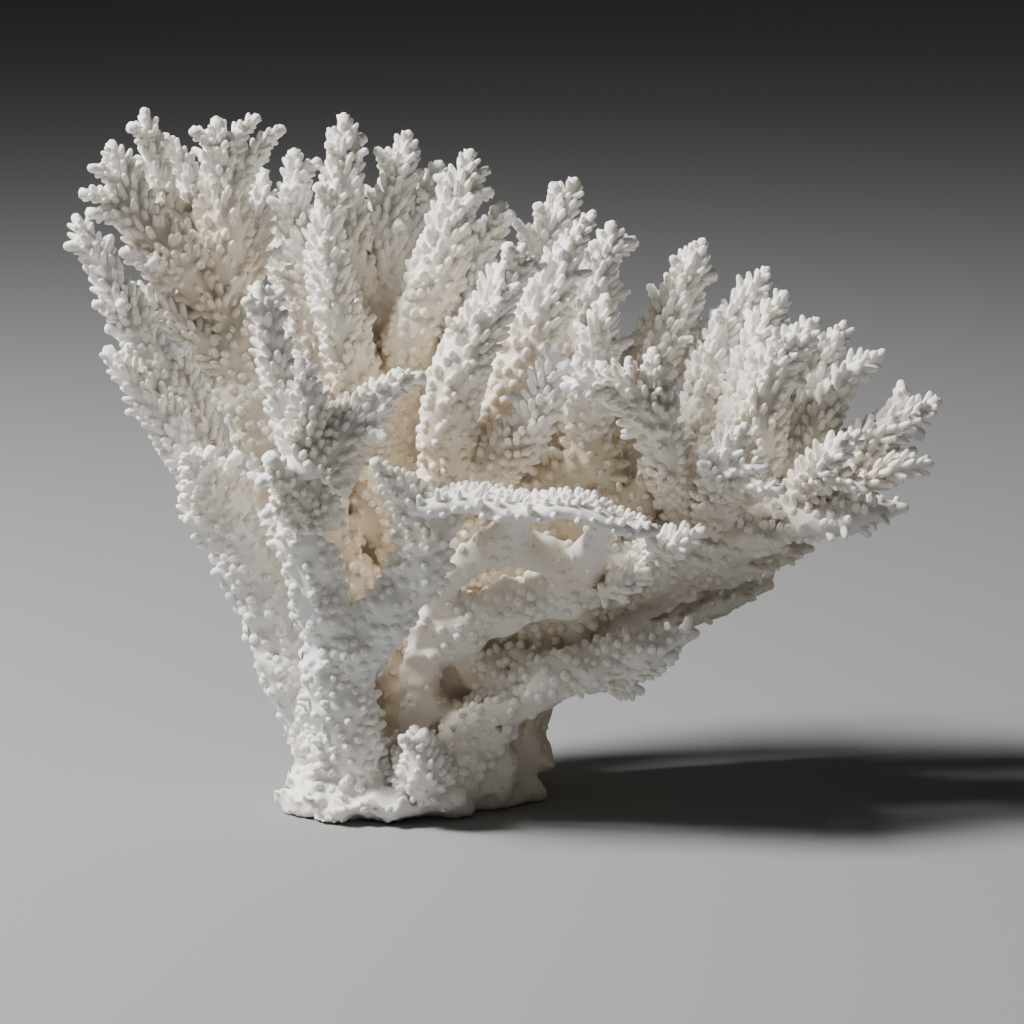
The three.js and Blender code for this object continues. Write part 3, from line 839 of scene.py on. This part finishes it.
LIMBS = (
    Limb("trunk", ((-2, 2, 5), (4, 3, 23), (14, 4, 40), (22, 5, 50)),
         (14, 11), 2.05, ThinAlong.Y, cream=(0.9, 0.9)),
    Limb("left_limb", ((-16, -8, 7), (-28, -13, 33), (-36, -16, 54), (-45, -18, 74), (-50, -19, 87)),
         (7.6, 5.6), 1, ThinAlong.Y, cream=(0.2, 0.15)),
    Limb("front_limb", ((-15, -15, 7), (-16, -22, 21), (-18, -27, 42)),
         (8.8, 7), 1, ThinAlong.Y, cream=(0.2, 0.1)),
    Limb("front_left_limb", ((-18, -26, 36), (-22, -31, 57), (-24, -36, 76), (-23, -39, 93)),
         (4.8, 6), 1.1, ThinAlong.Y, cream=(0.1, 0.1)),
    Limb("front_right_limb", ((-17, -26, 36), (-4, -32, 55), (4, -37, 68), (6, -40, 80)),
         (4.8, 5.8), 1, ThinAlong.Y, cream=(0.1, 0.1)),
    Limb("front_ridge", ((3, -40, 81), (15, -43, 83), (27, -45, 81), (40, -47, 82), (50, -47, 78),
          (59, -48, 77)),
         (2.6, 1.8), 3, ThinAlong.Z, cream=(0.1, 0.1)),
    Limb("strut", ((1, -10, 7), (2, -12, 26), (4, -16, 44), (12, -23, 62), (23, -32, 72), (29, -42, 80)),
         (5, 3.6), 1, ThinAlong.Y, cream=(0.7, 0.3)),
    Limb("front_arch", ((22, -30, 70), (33, -30, 68), (40, -22, 59)),
         (4.2, 4.4), 1, ThinAlong.Y, cream=(0.6, 0.6)),
    Limb("under_limb", ((6, -16, 44), (22, -20, 52), (38, -20, 57), (56, -18, 64), (73, -16, 69)),
         (5.6, 5), 1, ThinAlong.Y, cream=(0.4, 0.3)),
    Limb("front_wall", ((40, -20, 57), (44, -31, 68), (47, -44, 78)),
         (4.4, 2.8), 1.1, ThinAlong.Y, cream=(0.6, 0.3)),
    Limb("inner_limb", ((14, 0, 40), (29, -6, 62), (41, -12, 83), (44, -14, 96)),
         (8, 5), 1.8, ThinAlong.Y, cream=(0.95, 0.9)),
    Limb("inner_right_limb", ((33, -4, 46), (48, -10, 65), (58, -16, 84)),
         (7, 4.5), 1.6, ThinAlong.Y, cream=(0.95, 0.8)),
    Limb("crust", ((-25, -14, 3), (-15, -23, 4), (-3, -27, 5), (10, -23, 6)),
         (3.6, 3), 1.6, ThinAlong.Z, cream=(0.1, 0.1)),
    Limb("low_right_limb", ((3, -10, 5), (17, -15, 21), (33, -20, 34), (52, -24, 40), (70, -27, 48)),
         (7, 3.8), 1.2, ThinAlong.Z, cream=(0.5, 0.25)),
    Limb("back_left_limb", ((-10, 2, 37), (-19, 0, 53), (-32, 0, 84), (-42, 4, 110), (-51, 8, 129)),
         (9, 5), 1.3, ThinAlong.Y, cream=(0.8, 0.6)),
    Limb("back_mid_limb", ((0, 8, 39), (-4, 10, 56), (-8, 11, 79), (-10, 13, 99)),
         (9, 6.5), 1.3, ThinAlong.Y, cream=(0.9, 0.8)),
    Limb("mid_limb", ((7, 0, 40), (8, -4, 57), (10, -8, 75), (15, -10, 90)),
         (8.5, 6), 1.4, ThinAlong.Y, cream=(0.9, 0.7)),
    Limb("right_limb", ((18, 7, 36), (28, 8, 50), (38, 8, 66), (47, 8, 84)),
         (9, 6), 1.4, ThinAlong.Y, cream=(0.9, 0.7)),
    Limb("far_right_limb", ((19, 0, 34), (42, -2, 48), (67, -6, 64), (89, -9, 73), (107, -11, 81)),
         (9, 5), 1.6, ThinAlong.Z, cream=(0.8, 0.4)),
    Limb("right_shelf_low", ((17, 10, 23), (44, 14, 34), (70, 17, 45), (91, 18, 51)),
         (6.5, 3.4), 1.5, ThinAlong.Z, cream=(0.8, 0.5)),
    Limb("right_shelf_mid", ((37, 2, 45), (62, 4, 52), (82, 4, 59), (100, 4, 63)),
         (5.5, 3.4), 1.5, ThinAlong.Z, cream=(0.7, 0.4)),
    Limb("right_shelf_edge", ((69, -8, 64), (91, -16, 72), (108, -20, 75), (121, -22, 78)),
         (5, 3.2), 1.5, ThinAlong.Z, cream=(0.5, 0.2)),
    Limb("rear_limb", ((-1, 12, 25), (-7, 14, 43), (-14, 28, 66), (-16, 34, 89)),
         (8, 5.5), 1.3, ThinAlong.X, cream=(0.7, 0.5)),
    Limb("rear_right_limb", ((14, 12, 25), (33, 16, 41), (53, 26, 56), (73, 30, 71)),
         (8, 5), 1.4, ThinAlong.Z, cream=(0.7, 0.4)),
)
FRONDS = (
    Frond("left_arm", "left_limb", 0.88, (-64, -15, 115), (-81, -17, 149), 3.3, 1,
          twigs=((-83, -20, 142), (-76, -22, 128), (-73, -21, 122), (-73, -11, 143))),
    Frond("left_arm_lower", "left_limb", 0.8, (-59, -22, 99), (-73, -27, 118), 3.4, 1,
          twigs=((-68, -21, 118),), fused_to="left_arm"),
    Frond("left_ledge", "left_limb", 0.9, (-51, -29, 89), (-54, -35, 93), 6, 1,
          twigs=((-41, -27, 92), (-47, -31, 94)), fused_to="left_limb"),
    Frond("left_stub", "left_limb", 0.9, (-54, -12, 106), (-58, -16, 117), 3, 1,
          twigs=((-55, -12, 117),), fused_to="left_arm"),
    Frond("left_inner_twig", "back_left_limb", 0.74, (-61, 0, 123), (-71, -4, 130), 2.5, 1),
    Frond("upper_left_shelf", "back_left_limb", 0.93, (-58, 0, 134), (-71, -6, 139), 3.4, 1,
          twigs=((-63, -12, 137),), fused_to="upper_left_hand"),
    Frond("upper_left_spire", "back_left_limb", 0.95, (-61, 8, 149), (-66, 6, 173), 2.5, 1,
          twigs=((-69, 2, 169),), fused_to="upper_left_fan"),
    Frond("upper_left_hand", "upper_left_shelf", 0.45, (-67, -2, 148), (-73, -6, 166), 3.4, 1.2,
          twigs=((-78, -9, 160), (-80, -11, 154), (-78, -12, 149), (-71, 0, 160))),
    Frond("upper_left_slip", "back_left_limb", 0.96, (-55, 16, 152),
          (-62, 15, 166), 2.5, 1, fused_to="upper_left_fan"),
    Frond("upper_left_fan", "back_left_limb", 0.96, (-47, 8, 151), (-48, 4, 171), 3.9, 1.25,
          twigs=((-54, 2, 168), (-42, 6, 167), (-38, 9, 171), (-32, 12, 168), (-36, 14, 162))),
    Frond("upper_left_back", "back_left_limb", 0.92, (-40, 16, 143),
          (-38, 20, 157), 3.4, 1.2, fused_to="upper_left_fan"),
    Frond("centre_left_fan", "back_mid_limb", 0.93, (-27, 8, 140), (-29, 6, 163), 3.2, 1.2,
          twigs=((-35, 2, 151), (-23, 10, 160), (-31, 2, 154))),
    Frond("tall_spire", "back_mid_limb", 0.95, (-17, 16, 142), (-17, 16, 171), 3.5, 1.25,
          twigs=((-21, 13, 164), (-12, 19, 165)), fused_to="tall_fan"),
    Frond("tall_fan", "back_mid_limb", 0.96, (-8, 20, 137), (-1, 24, 166), 3.4, 1.2,
          twigs=((-9, 20, 162), (1, 27, 161))),
    Frond("centre_front_left", "back_mid_limb", 0.8, (-18, -8, 125), (-21, -14, 143), 3.9, 1.1,
          twigs=((-16, -10, 139),), fused_to="centre_left_fan"),
    Frond("centre_left_blunt", "back_mid_limb", 0.9, (-21, 2, 136), (-18, 0, 156), 3.5, 1.2,
          twigs=((-15, 2, 151), (-23, -3, 155)), fused_to="centre_left_fan"),
    Frond("centre_spire", "back_mid_limb", 0.86, (6, 2, 132), (15, 4, 163), 4, 1.25,
          twigs=((19, 7, 158), (20, 2, 153), (10, 3, 155))),
    Frond("centre_back", "back_mid_limb", 0.97, (-4, 24, 132), (7, 28, 158), 3.2, 1.2,
          twigs=((3, 24, 151),), fused_to="tall_fan"),
    Frond("centre_right", "mid_limb", 0.92, (14, 6, 127), (23, 6, 150), 3.4, 1.1, twigs=((25, 2, 147),)),
    Frond("front_slender", "front_left_limb", 0.94, (-30, -42, 111), (-35, -46, 136), 2.7, 1,
          twigs=((-38, -50, 132), (-29, -45, 134))),
    Frond("front_stub", "front_left_limb", 0.98, (-24, -44, 106), (-25, -48, 118), 4.4, 1,
          twigs=((-21, -46, 116),), fused_to="front_slender"),
    Frond("front_lobe_right", "front_left_limb", 0.98, (-13, -38, 101), (-1, -38, 114), 5, 1.25,
          twigs=((4, -36, 112), (-9, -40, 109), (-5, -46, 99))),
    Frond("front_lobe_left", "front_left_limb", 0.78, (-29, -44, 89), (-33, -48, 95), 5.2, 1,
          twigs=((-35, -51, 89), (-34, -49, 81)), fused_to="front_left_limb"),
    Frond("ridge_horn", "front_right_limb", 0.9, (-1, -44, 86), (-8, -50, 94), 5, 1,
          twigs=((-5, -50, 89),), fused_to="front_right_limb"),
    Frond("front_sweep", "mid_limb", 0.7, (11, -24, 108), (28, -28, 143), 4, 1.2,
          twigs=((24, -32, 143), (33, -25, 138), (22, -34, 130))),
    Frond("middle_sweep", "mid_limb", 0.97, (26, -10, 110), (41, -10, 145), 4, 1.25,
          twigs=((45, -8, 149), (37, -14, 140))),
    Frond("middle_leaf", "mid_limb", 0.8, (29, -24, 98), (36, -30, 119), 3.5, 1.25,
          twigs=((39, -32, 114),)),
    Frond("centre_right_spire", "right_limb", 0.85, (32, 12, 129), (41, 14, 155), 3.7, 1.25,
          twigs=((35, 12, 154), (26, 9, 145), (31, 10, 149))),
    Frond("right_front_spire", "right_limb", 0.7, (44, -16, 104), (48, -20, 130), 3.5, 1.2,
          twigs=((46, -18, 128), (54, -20, 119))),
    Frond("right_spire", "right_limb", 0.92, (44, 6, 117), (50, 6, 145), 3.9, 1.25,
          twigs=((56, 8, 140), (45, 4, 140)), fused_to="centre_right_spire"),
    Frond("hooked_branch", "far_right_limb", 0.62, (61, -28, 96), (59, -36, 119), 3.7, 1.1,
          twigs=((63, -34, 115),)),
    Frond("hook_lobe", "hooked_branch", 0.72, (49, -39, 111), (37, -43, 111), 4.2, 1,
          twigs=((40, -42, 117), (46, -40, 116), (53, -38, 117)), fused_to="hooked_branch"),
    Frond("right_fan", "right_limb", 0.96, (62, 10, 114), (73, 12, 140), 4, 1.25,
          twigs=((65, 8, 136), (76, 13, 131), (69, 6, 134))),
    Frond("right_blade", "far_right_limb", 0.62, (74, 6, 108), (89, 10, 133), 3.4, 1.1),
    Frond("right_blade_short", "far_right_limb", 0.68, (84, 0, 112), (93, 2, 128), 3.2, 1,
          twigs=((96, 0, 119),), fused_to="right_blade"),
    Frond("right_bright", "far_right_limb", 0.74, (87, -10, 105), (100, -12, 123), 4, 1.25,
          twigs=((93, -14, 119), (83, -12, 115))),
    Frond("right_crest", "far_right_limb", 0.82, (99, 2, 103), (108, 6, 120), 3.4, 1.1),
    Frond("right_finger", "far_right_limb", 0.86, (106, -4, 105),
          (117, -4, 114), 2.7, 1, fused_to="right_crest"),
    Frond("right_tip_fan", "far_right_limb", 0.94, (114, -10, 93), (130, -12, 103), 3.5, 1.2,
          twigs=((121, -8, 107), (125, -14, 99))),
    Frond("right_tip_low", "far_right_limb", 0.97, (117, -14, 86), (128, -16, 88), 2.9, 1,
          twigs=((124, -12, 91),)),
    Frond("right_front_fan", "far_right_limb", 0.88, (100, -26, 89), (109, -30, 98), 3, 1.1,
          twigs=((104, -32, 96), (111, -32, 84))),
    Frond("right_front_lobe", "far_right_limb", 0.66, (74, -34, 88), (81, -38, 101), 3.2, 1.1,
          twigs=((90, -43, 86), (86, -41, 91), (70, -41, 92))),
    Frond("front_shelf_lobe", "under_limb", 0.78, (61, -34, 70), (71, -42, 76), 3, 1,
          twigs=((58, -44, 74),)),
    Frond("front_shelf_twig", "under_limb", 0.66, (48, -28, 59),
          (58, -36, 65), 2.5, 1, fused_to="front_shelf_lobe"),
    Frond("low_right_fork", "low_right_limb", 0.62, (50, -24, 35), (57, -26, 33), 2.9, 1,
          twigs=((65, -30, 43),), fused_to="low_right_limb"),
    Frond("base_knob", "base", 0.5, (3, -30, 13), (1, -35, 26), 8, 1,
          twigs=((-2, -38, 24), (4, -38, 25)), fused_to="base"),
    Frond("rear_left_fan", "rear_limb", 0.92, (-29, 32, 123), (-42, 36, 144), 3.7, 1.25,
          twigs=((-48, 34, 139), (-36, 40, 146))),
    Frond("rear_spire", "rear_limb", 0.96, (-18, 40, 119), (-17, 44, 151), 3.7, 1.25,
          twigs=((-22, 48, 145), (-11, 48, 145)), fused_to="rear_left_fan"),
    Frond("rear_sweep", "rear_limb", 0.94, (1, 38, 117), (12, 42, 143), 3.7, 1.25,
          twigs=((17, 46, 136), (6, 48, 140))),
    Frond("rear_right_spire", "rear_right_limb", 0.62, (32, 30, 102), (41, 34, 131), 3.7, 1.25,
          twigs=((36, 40, 125), (48, 38, 124))),
    Frond("rear_right_fan", "rear_right_limb", 0.85, (58, 32, 99), (71, 36, 122), 3.7, 1.25,
          twigs=((65, 42, 117), (77, 38, 115))),
    Frond("rear_right_tip", "rear_right_limb", 0.97, (86, 30, 89), (102, 32, 104), 3.5, 1.2,
          twigs=((97, 40, 97), (107, 32, 97))),
)


def twig_line(frond: Line, tip: Array) -> Line:
    """The line of a twig: it leaves its frond below the point nearest to its own tip, and bows out.

    Args:
        frond: The line of the frond that carries it.
        tip: Where it ends.

    Returns:
        Its line.
    """
    share = np.linspace(0, 1, 60)
    away = np.linalg.norm(frond.at(share) - tip, axis=1)
    fork = np.clip(share[away.argmin()] - 0.9 * away.min() / frond.length, 0.12, 0.9)
    start = frond.at(fork)
    bow = 0.12 * np.linalg.norm(tip - start) * frond.heading(fork)
    return Line([start, (start + tip) / 2 + bow, tip])


@dataclass
class Limbs:
    """The foot and the limbs: one filleted skin, and the low cups that stand on it."""

    limbs: tuple[Limb, ...]
    rng: np.random.Generator
    space: LimbField = field(init=False)
    branches: dict[str, Branch] = field(init=False)

    SPACING = 1.6  # least distance between two cups
    SMOOTH = ("trunk", "strut", "front_wall", "front_arch", "crust")
    CREST = "front_ridge"
    STRAY = 4.0  # cups that would land farther off than this are left out
    MOUND = (0.9, 1.9)  # height and reach of the mound that a cup stands on

    def __post_init__(self) -> None:
        """Works out the field that the skin is read from."""
        self.branches = {limb.name: limb.branch() for limb in self.limbs}
        self.space = LimbField((-72.0, -64.0, -3.0), (124.0, 50.0, 140.0), SKIN_STEP)
        self.space.add_foot(*FOOT, cream=0.45)
        for branch in self.branches.values():
            self.space.grow(branch, FORK_FILLET)
        self.space.roughen()

    def cups(self) -> Cups:
        """Sets cups on every limb, lands them on the common skin, and raises a mound under each.

        Returns:
            The cups that stand clear of each other, of the floor and of bare undersides.
        """
        groups = []
        for name, branch in self.branches.items():
            crest = name == self.CREST
            habit = CREST_CUPS if crest else OLD_CUPS if name in self.SMOOTH else LIMB_CUPS
            cups = branch.cups(habit, self.rng)
            landed = self.space.landed(cups.root)
            moved = np.linalg.norm(landed - cups.root, axis=1)
            outward = self.space.outward(landed)
            cups.root = landed
            cups.out = unit(cups.out + 0.9 * outward)
            cups.cream = np.maximum(self.space.read(self.space.cream, landed) - 0.1, 0)
            under = -outward[:, 2]
            if crest:
                cups.length = cups.length * (1 - 0.7 * ease(under, -0.7, 0.2))
                bare = under > 0.3
            else:
                cups.length = cups.length * (1 - 0.5 * ease(under, 0.1, 0.7))
                bare = self.rng.random(len(under)) < ease(under, 0.2, 0.9)
            groups.append(cups.kept((moved < self.STRAY) & (landed[:, 2] > FLOOR_CLEAR) & ~bare))
        cups = Cups.joined(groups)
        cups = cups.kept(self.apart(cups.root))
        height, reach = self.MOUND
        self.space.swell(cups.root, height * np.minimum(cups.length + 0.4, 1.0), reach)
        cups.root = self.space.landed(cups.root)
        cups.out = unit(cups.out + self.space.outward(cups.root))
        return cups

    def apart(self, points: Array) -> Array:
        """Chooses points that are no nearer to each other than the spacing, the first ones first."""
        tree = KDTree(len(points))
        for number, place in enumerate(points):
            tree.insert(place, number)
        tree.balance()
        chosen = np.ones(len(points), bool)
        for number, place in enumerate(points):
            if chosen[number]:
                near = [other for _, other, _ in tree.find_range(place, self.SPACING) if other > number]
                chosen[near] = False
        return chosen

    def build(self, finish: "SkeletonFinish") -> list[bpy.types.Object]:
        """Makes the two pieces and lets the skin stand for the solids of the foot and limbs."""
        cups = self.cups()
        skin = show("limb_skin", self.space.skin(), finish)
        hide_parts("base", *(n for n in self.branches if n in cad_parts))
        return [skin, show("limb_cups", cups.shell(NIPPLE), finish)]


FROND_NET = (1.6, 16)  # distance between the rings of a frond's skin, and points round each
TWIG_NET = (1.6, 8)


@dataclass
class Fronds:
    """The fronds and their twigs, each closely set with leaning cups."""

    fronds: tuple[Frond, ...]
    limbs: Limbs
    rng: np.random.Generator
    grown: dict[str, list[tuple[Branch, CupHabit]]] = field(init=False)

    def __post_init__(self) -> None:
        """Works out the lines of all fronds and twigs, each from the branch that carries it."""
        trunk = Line([(0, 0, 0), (0, 0, FOOT[2] / 2), (0, 0, FOOT[2])])
        carriers = {"base": Branch(trunk, (1.0, 1.0), 1.0, ThinAlong.Y, (0.1, 0.1), LIMB_TAPER)}
        carriers |= self.limbs.branches
        self.grown = {}
        for number, frond in enumerate(self.fronds):
            carrier = carriers[frond.on]
            line = Line([carrier.line.at(frond.at), frond.middle, frond.tip])
            girth = (FROND_GIRTH[0] * frond.girth, FROND_GIRTH[1] * frond.girth)
            cream = (min(1.0, float(carrier.creaminess(np.array(frond.at))) + 0.15), 0.0)
            body = Branch(line, girth, frond.flat, ThinAlong.Y, cream, FROND_TAPER)
            carriers[frond.name] = body
            branches = [(body, LOBE_CUPS if frond.girth >= LOBE_GIRTH else FROND_CUPS)]
            shoots = [(np.array(tip), TWIG_GIRTH) for tip in frond.twigs]
            shoots += [(tip, SPRIG_GIRTH) for tip in sprig_tips(body, float(number))]
            for tip, thick in shoots:
                shoot = Branch(twig_line(line, tip), thick, 1.0, ThinAlong.Y, (0.2, 0.0), TWIG_TAPER)
                branches.append((shoot, TWIG_CUPS))
            self.grown[frond.name] = branches

    def buried(self, points: Array, own: Branch) -> Array:
        """Tells which points lie inside the limbs or inside another branch.

        Args:
            points: Roots of cups.
            own: The branch that they stand on, which doesn't count.

        Returns:
            True for each point that would not be seen.
        """
        hidden = self.limbs.space.read(self.limbs.space.depth, points) < -0.4
        hidden |= points[:, 2] < FLOOR_CLEAR
        low, high = points.min(0), points.max(0)
        for branches in self.grown.values():
            for branch, _ in branches:
                if branch is own:
                    continue
                share = np.linspace(0, 0.97, max(6, int(branch.line.length / 2)))
                centre, radius = branch.line.at(share), branch.radius(share)
                if (centre.max(0) + 9 < low).any() or (centre.min(0) - 9 > high).any():
                    continue
                away = np.linalg.norm(points[:, None] - centre[None], axis=2)
                hidden |= (away < 0.85 * radius).any(1)
        return hidden

    def build(self, finish: "SkeletonFinish") -> list[bpy.types.Object]:
        """Makes one piece for each solid that fronds are split into."""
        members: dict[str, list[Frond]] = {}
        for frond in self.fronds:
            on_limb = frond.piece in self.limbs.branches or frond.piece == "base"
            members.setdefault(frond.name if on_limb else frond.piece, []).append(frond)
        pieces = []
        for name, fronds in members.items():
            shells = []
            for branch, habit in (grown for frond in fronds for grown in self.grown[frond.name]):
                cups = branch.cups(habit, self.rng)
                cups = cups.kept(~self.buried(cups.root, branch))
                net = TWIG_NET if habit is TWIG_CUPS else FROND_NET
                shells += [branch.skin(*net), cups.shell(NIPPLE if habit is LOBE_CUPS else FINGER)]
            piece = show(f"{name}_frond", Shell.joined(shells), finish)
            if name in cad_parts:
                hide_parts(name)
            pieces.append(piece)
        return pieces


@dataclass(frozen=True)
class SkeletonFinish:
    """Bleached coral skeleton: white young growth, cream old skin with pores, painted shade in the cups'
    pits, and a chalky surface.
    """

    white: Colour = (0.91, 0.895, 0.865)
    cream: Colour = (0.86, 0.73, 0.54)
    # Painted shade for the bottoms of cups, and also the colour of pores
    shade: Colour = (0.55, 0.47, 0.38)
    roughness: float = 0.72
    gloss: float = 0.35
    glow: float = 0.4  # share of the light that passes through the surface
    glow_depth: float = 2.0 * MM
    glow_tint: Colour = (1.0, 0.85, 0.65)
    mottle: float = 0.3  # how much the creaminess varies
    mottle_scale: float = 90.0
    pore_scale: float = 300.0
    grain_scale: float = 1400.0
    pore: float = 0.13  # radius of a pore, of the distance between pores
    # How strongly painted shade darkens the bottom of a cup
    pit: float = 0.25  # how much a cup's pit is darkened
    slot: str = "skeleton"

    def material(self) -> bpy.types.Material:
        """Mixes white and cream by the skin's age, paints shade into the cups' pits, darkens pores, and
        adds a fine grain.

        Returns:
            The material that all pieces share.
        """
        made = bpy.data.materials.get("coral_skeleton")
        if made:
            return made
        made = bpy.data.materials.new("coral_skeleton")
        made.use_nodes = True
        tree = made.node_tree
        shader = tree.nodes["Principled BSDF"]
        shader.inputs["Roughness"].default_value = self.roughness
        shader.inputs["Specular IOR Level"].default_value = self.gloss
        shader.subsurface_method = "BURLEY"
        shader.inputs["Subsurface Weight"].default_value = self.glow
        shader.inputs["Subsurface Radius"].default_value = self.glow_tint
        shader.inputs["Subsurface Scale"].default_value = self.glow_depth
        cream = self._read(tree, "cream")
        mottle = self._pattern(tree, "ShaderNodeTexNoise", self.mottle_scale)
        age = self._math(tree, "MULTIPLY_ADD", mottle.outputs["Fac"], self.mottle, cream)
        age = self._math(tree, "SUBTRACT", age, self.mottle / 2, clamp=True)
        tint = self._mix(tree, age, self.white, self.cream)
        pores = self._pattern(tree, "ShaderNodeTexVoronoi", self.pore_scale)
        pore = self._math(tree, "LESS_THAN", pores.outputs["Distance"], self.pore)
        pore = self._math(tree, "MULTIPLY", pore, cream)
        # Painted shade at the bottoms of cups, plus the darker pores
        depth = self._math(tree, "MULTIPLY_ADD", self._read(tree, "pit_shade"), self.pit, pore)
        colour = self._mix(tree, depth, tint, self.shade)
        tree.links.new(colour, shader.inputs["Base Color"])
        grain = self._pattern(tree, "ShaderNodeTexNoise", self.grain_scale)
        grain.inputs["Detail"].default_value = 3.0
        bump = tree.nodes.new("ShaderNodeBump")
        bump.inputs["Strength"].default_value = 0.35
        bump.inputs["Distance"].default_value = 0.3 * MM
        tree.links.new(grain.outputs["Fac"], bump.inputs["Height"])
        tree.links.new(bump.outputs["Normal"], shader.inputs["Normal"])
        return made

    @staticmethod
    def _read(tree: bpy.types.NodeTree, label: str) -> bpy.types.NodeSocket:
        """Reads one of the values that a shell keeps at its points."""
        node = tree.nodes.new("ShaderNodeAttribute")
        node.attribute_name = label
        return node.outputs["Fac"]

    @staticmethod
    def _pattern(tree: bpy.types.NodeTree, kind: str, scale: float) -> bpy.types.Node:
        """Makes a pattern that lies still on the piece.

        Args:
            tree: The material's nodes.
            kind: What pattern.
            scale: How many times it repeats in a metre, about.

        Returns:
            The pattern's node.
        """
        place = tree.nodes.new("ShaderNodeTexCoord")
        node = tree.nodes.new(kind)
        node.inputs["Scale"].default_value = scale
        tree.links.new(place.outputs["Object"], node.inputs["Vector"])
        return node

    @staticmethod
    def _math(
        tree: bpy.types.NodeTree,
        operation: str,
        *values: float | bpy.types.NodeSocket,
        clamp: bool = False,
    ) -> bpy.types.NodeSocket:
        """Works out a value from sockets or fixed numbers.

        Args:
            tree: The material's nodes.
            operation: What is done.
            values: What it is done with, in order.
            clamp: Whether the result stays from 0 to 1.

        Returns:
            The result.
        """
        node = tree.nodes.new("ShaderNodeMath")
        node.operation = operation
        node.use_clamp = clamp
        for socket, value in zip(node.inputs, values):
            if isinstance(value, float):
                socket.default_value = value
            else:
                tree.links.new(value, socket)
        return node.outputs[0]

    @staticmethod
    def _mix(
        tree: bpy.types.NodeTree,
        share: bpy.types.NodeSocket,
        first: Colour | bpy.types.NodeSocket,
        second: Colour | bpy.types.NodeSocket,
    ) -> bpy.types.NodeSocket:
        """Mixes two colours, each a socket or a fixed colour, by a socket's share.

        Args:
            tree: The material's nodes.
            share: From 0 for the first to 1 for the second.
            first: One colour.
            second: The other.

        Returns:
            The mixed colour.
        """
        mix = tree.nodes.new("ShaderNodeMix")
        mix.data_type = "RGBA"
        tree.links.new(share, mix.inputs["Factor"])
        for socket, value in ((mix.inputs[6], first), (mix.inputs[7], second)):
            if isinstance(value, tuple):
                socket.default_value = (*value, 1.0)
            else:
                tree.links.new(value, socket)
        return mix.outputs[2]


def show(name: str, shell: Shell, finish: SkeletonFinish) -> bpy.types.Object:
    """Puts a shell into the scene as a finished piece of the part's one body.

    Args:
        name: The piece's name.
        shell: Its surface.
        finish: Its finish.

    Returns:
        The piece.
    """
    piece = shell.to_piece(name, finish.material())
    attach(piece, "root")
    log.info("%s: %d triangles", name, shell.triangles)
    return piece


@dataclass(frozen=True)
class SoftLight:
    """A square light that faces the middle of the colony.

    Attributes:
        name: What it is for.
        place: Where it hangs, in metres.
        size: Its side in metres.
        power: Its power in watts.
    """

    name: str
    place: Point
    size: float
    power: float


KEY = SoftLight("key", (-0.78, -0.12, 1.0), 0.3, 42.0)
FILL = SoftLight("fill", (-0.3, -1.3, 0.5), 0.9, 0.2)


@dataclass(frozen=True)
class Studio:
    """A plain pale floor, soft light from the upper left, and the photograph's view."""

    target: Point = (0.025, 0.0, 0.0731)
    distance: float = 1.0
    elevation: float = 10.0
    lens: float = 140.6
    floor: Colour = (0.26, 0.26, 0.262)
    floor_half: float = 6.0

    def build(self) -> None:
        """Sets the floor, the lights, the world and the camera."""
        self._floor()
        self._hang(KEY)
        self._hang(FILL)
        world = bpy.data.worlds.new("soft")
        world.use_nodes = True
        backdrop = world.node_tree.nodes["Background"]
        backdrop.inputs["Color"].default_value = (1.0, 0.99, 0.97, 1.0)
        backdrop.inputs["Strength"].default_value = 0.05
        bpy.context.scene.world = world
        camera = bpy.data.objects.new("camera", bpy.data.cameras.new("camera"))
        camera.data.lens = self.lens
        angle = math.radians(self.elevation)
        back = Vector((0.0, -math.cos(angle), math.sin(angle)))
        camera.location = Vector(self.target) + self.distance * back
        camera.rotation_euler = (-back).to_track_quat("-Z", "Y").to_euler()
        bpy.context.scene.collection.objects.link(camera)
        bpy.context.scene.camera = camera

    def _floor(self) -> None:
        """Makes the floor, a square under the foot."""
        half = self.floor_half
        mesh = bpy.data.meshes.new("floor")
        corners = [(-half, -half, 0), (half, -half, 0), (half, half, 0), (-half, half, 0)]
        mesh.from_pydata(corners, [], [(0, 1, 2, 3)])
        paint = bpy.data.materials.new("floor_paint")
        paint.use_nodes = True
        paint.node_tree.nodes["Principled BSDF"].inputs["Base Color"].default_value = (*self.floor, 1.0)
        paint.node_tree.nodes["Principled BSDF"].inputs["Roughness"].default_value = 0.9
        mesh.materials.append(paint)
        floor = bpy.data.objects.new("floor", mesh)
        bpy.context.scene.collection.objects.link(floor)

    def _hang(self, soft: SoftLight) -> None:
        """Hangs a soft light and turns it to the middle of the colony."""
        lamp = bpy.data.lights.new(soft.name, "AREA")
        lamp.size, lamp.energy = soft.size, soft.power
        light = bpy.data.objects.new(soft.name, lamp)
        light.location = soft.place
        ahead = Vector(self.target) - Vector(soft.place)
        light.rotation_euler = ahead.to_track_quat("-Z", "Y").to_euler()
        bpy.context.scene.collection.objects.link(light)


def main() -> None:
    """Builds the colony and its stage, and notes how many pieces it has."""
    logging.basicConfig(level=logging.INFO, format="%(name)s: %(message)s")
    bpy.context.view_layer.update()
    rng = np.random.default_rng(7)
    finish = SkeletonFinish()
    limbs = Limbs(LIMBS, rng)
    pieces = limbs.build(finish) + Fronds(FRONDS, limbs, rng).build(finish)
    log.info("%d pieces", len(pieces))
    Studio().build()


if __name__ == "__main__":
    main()
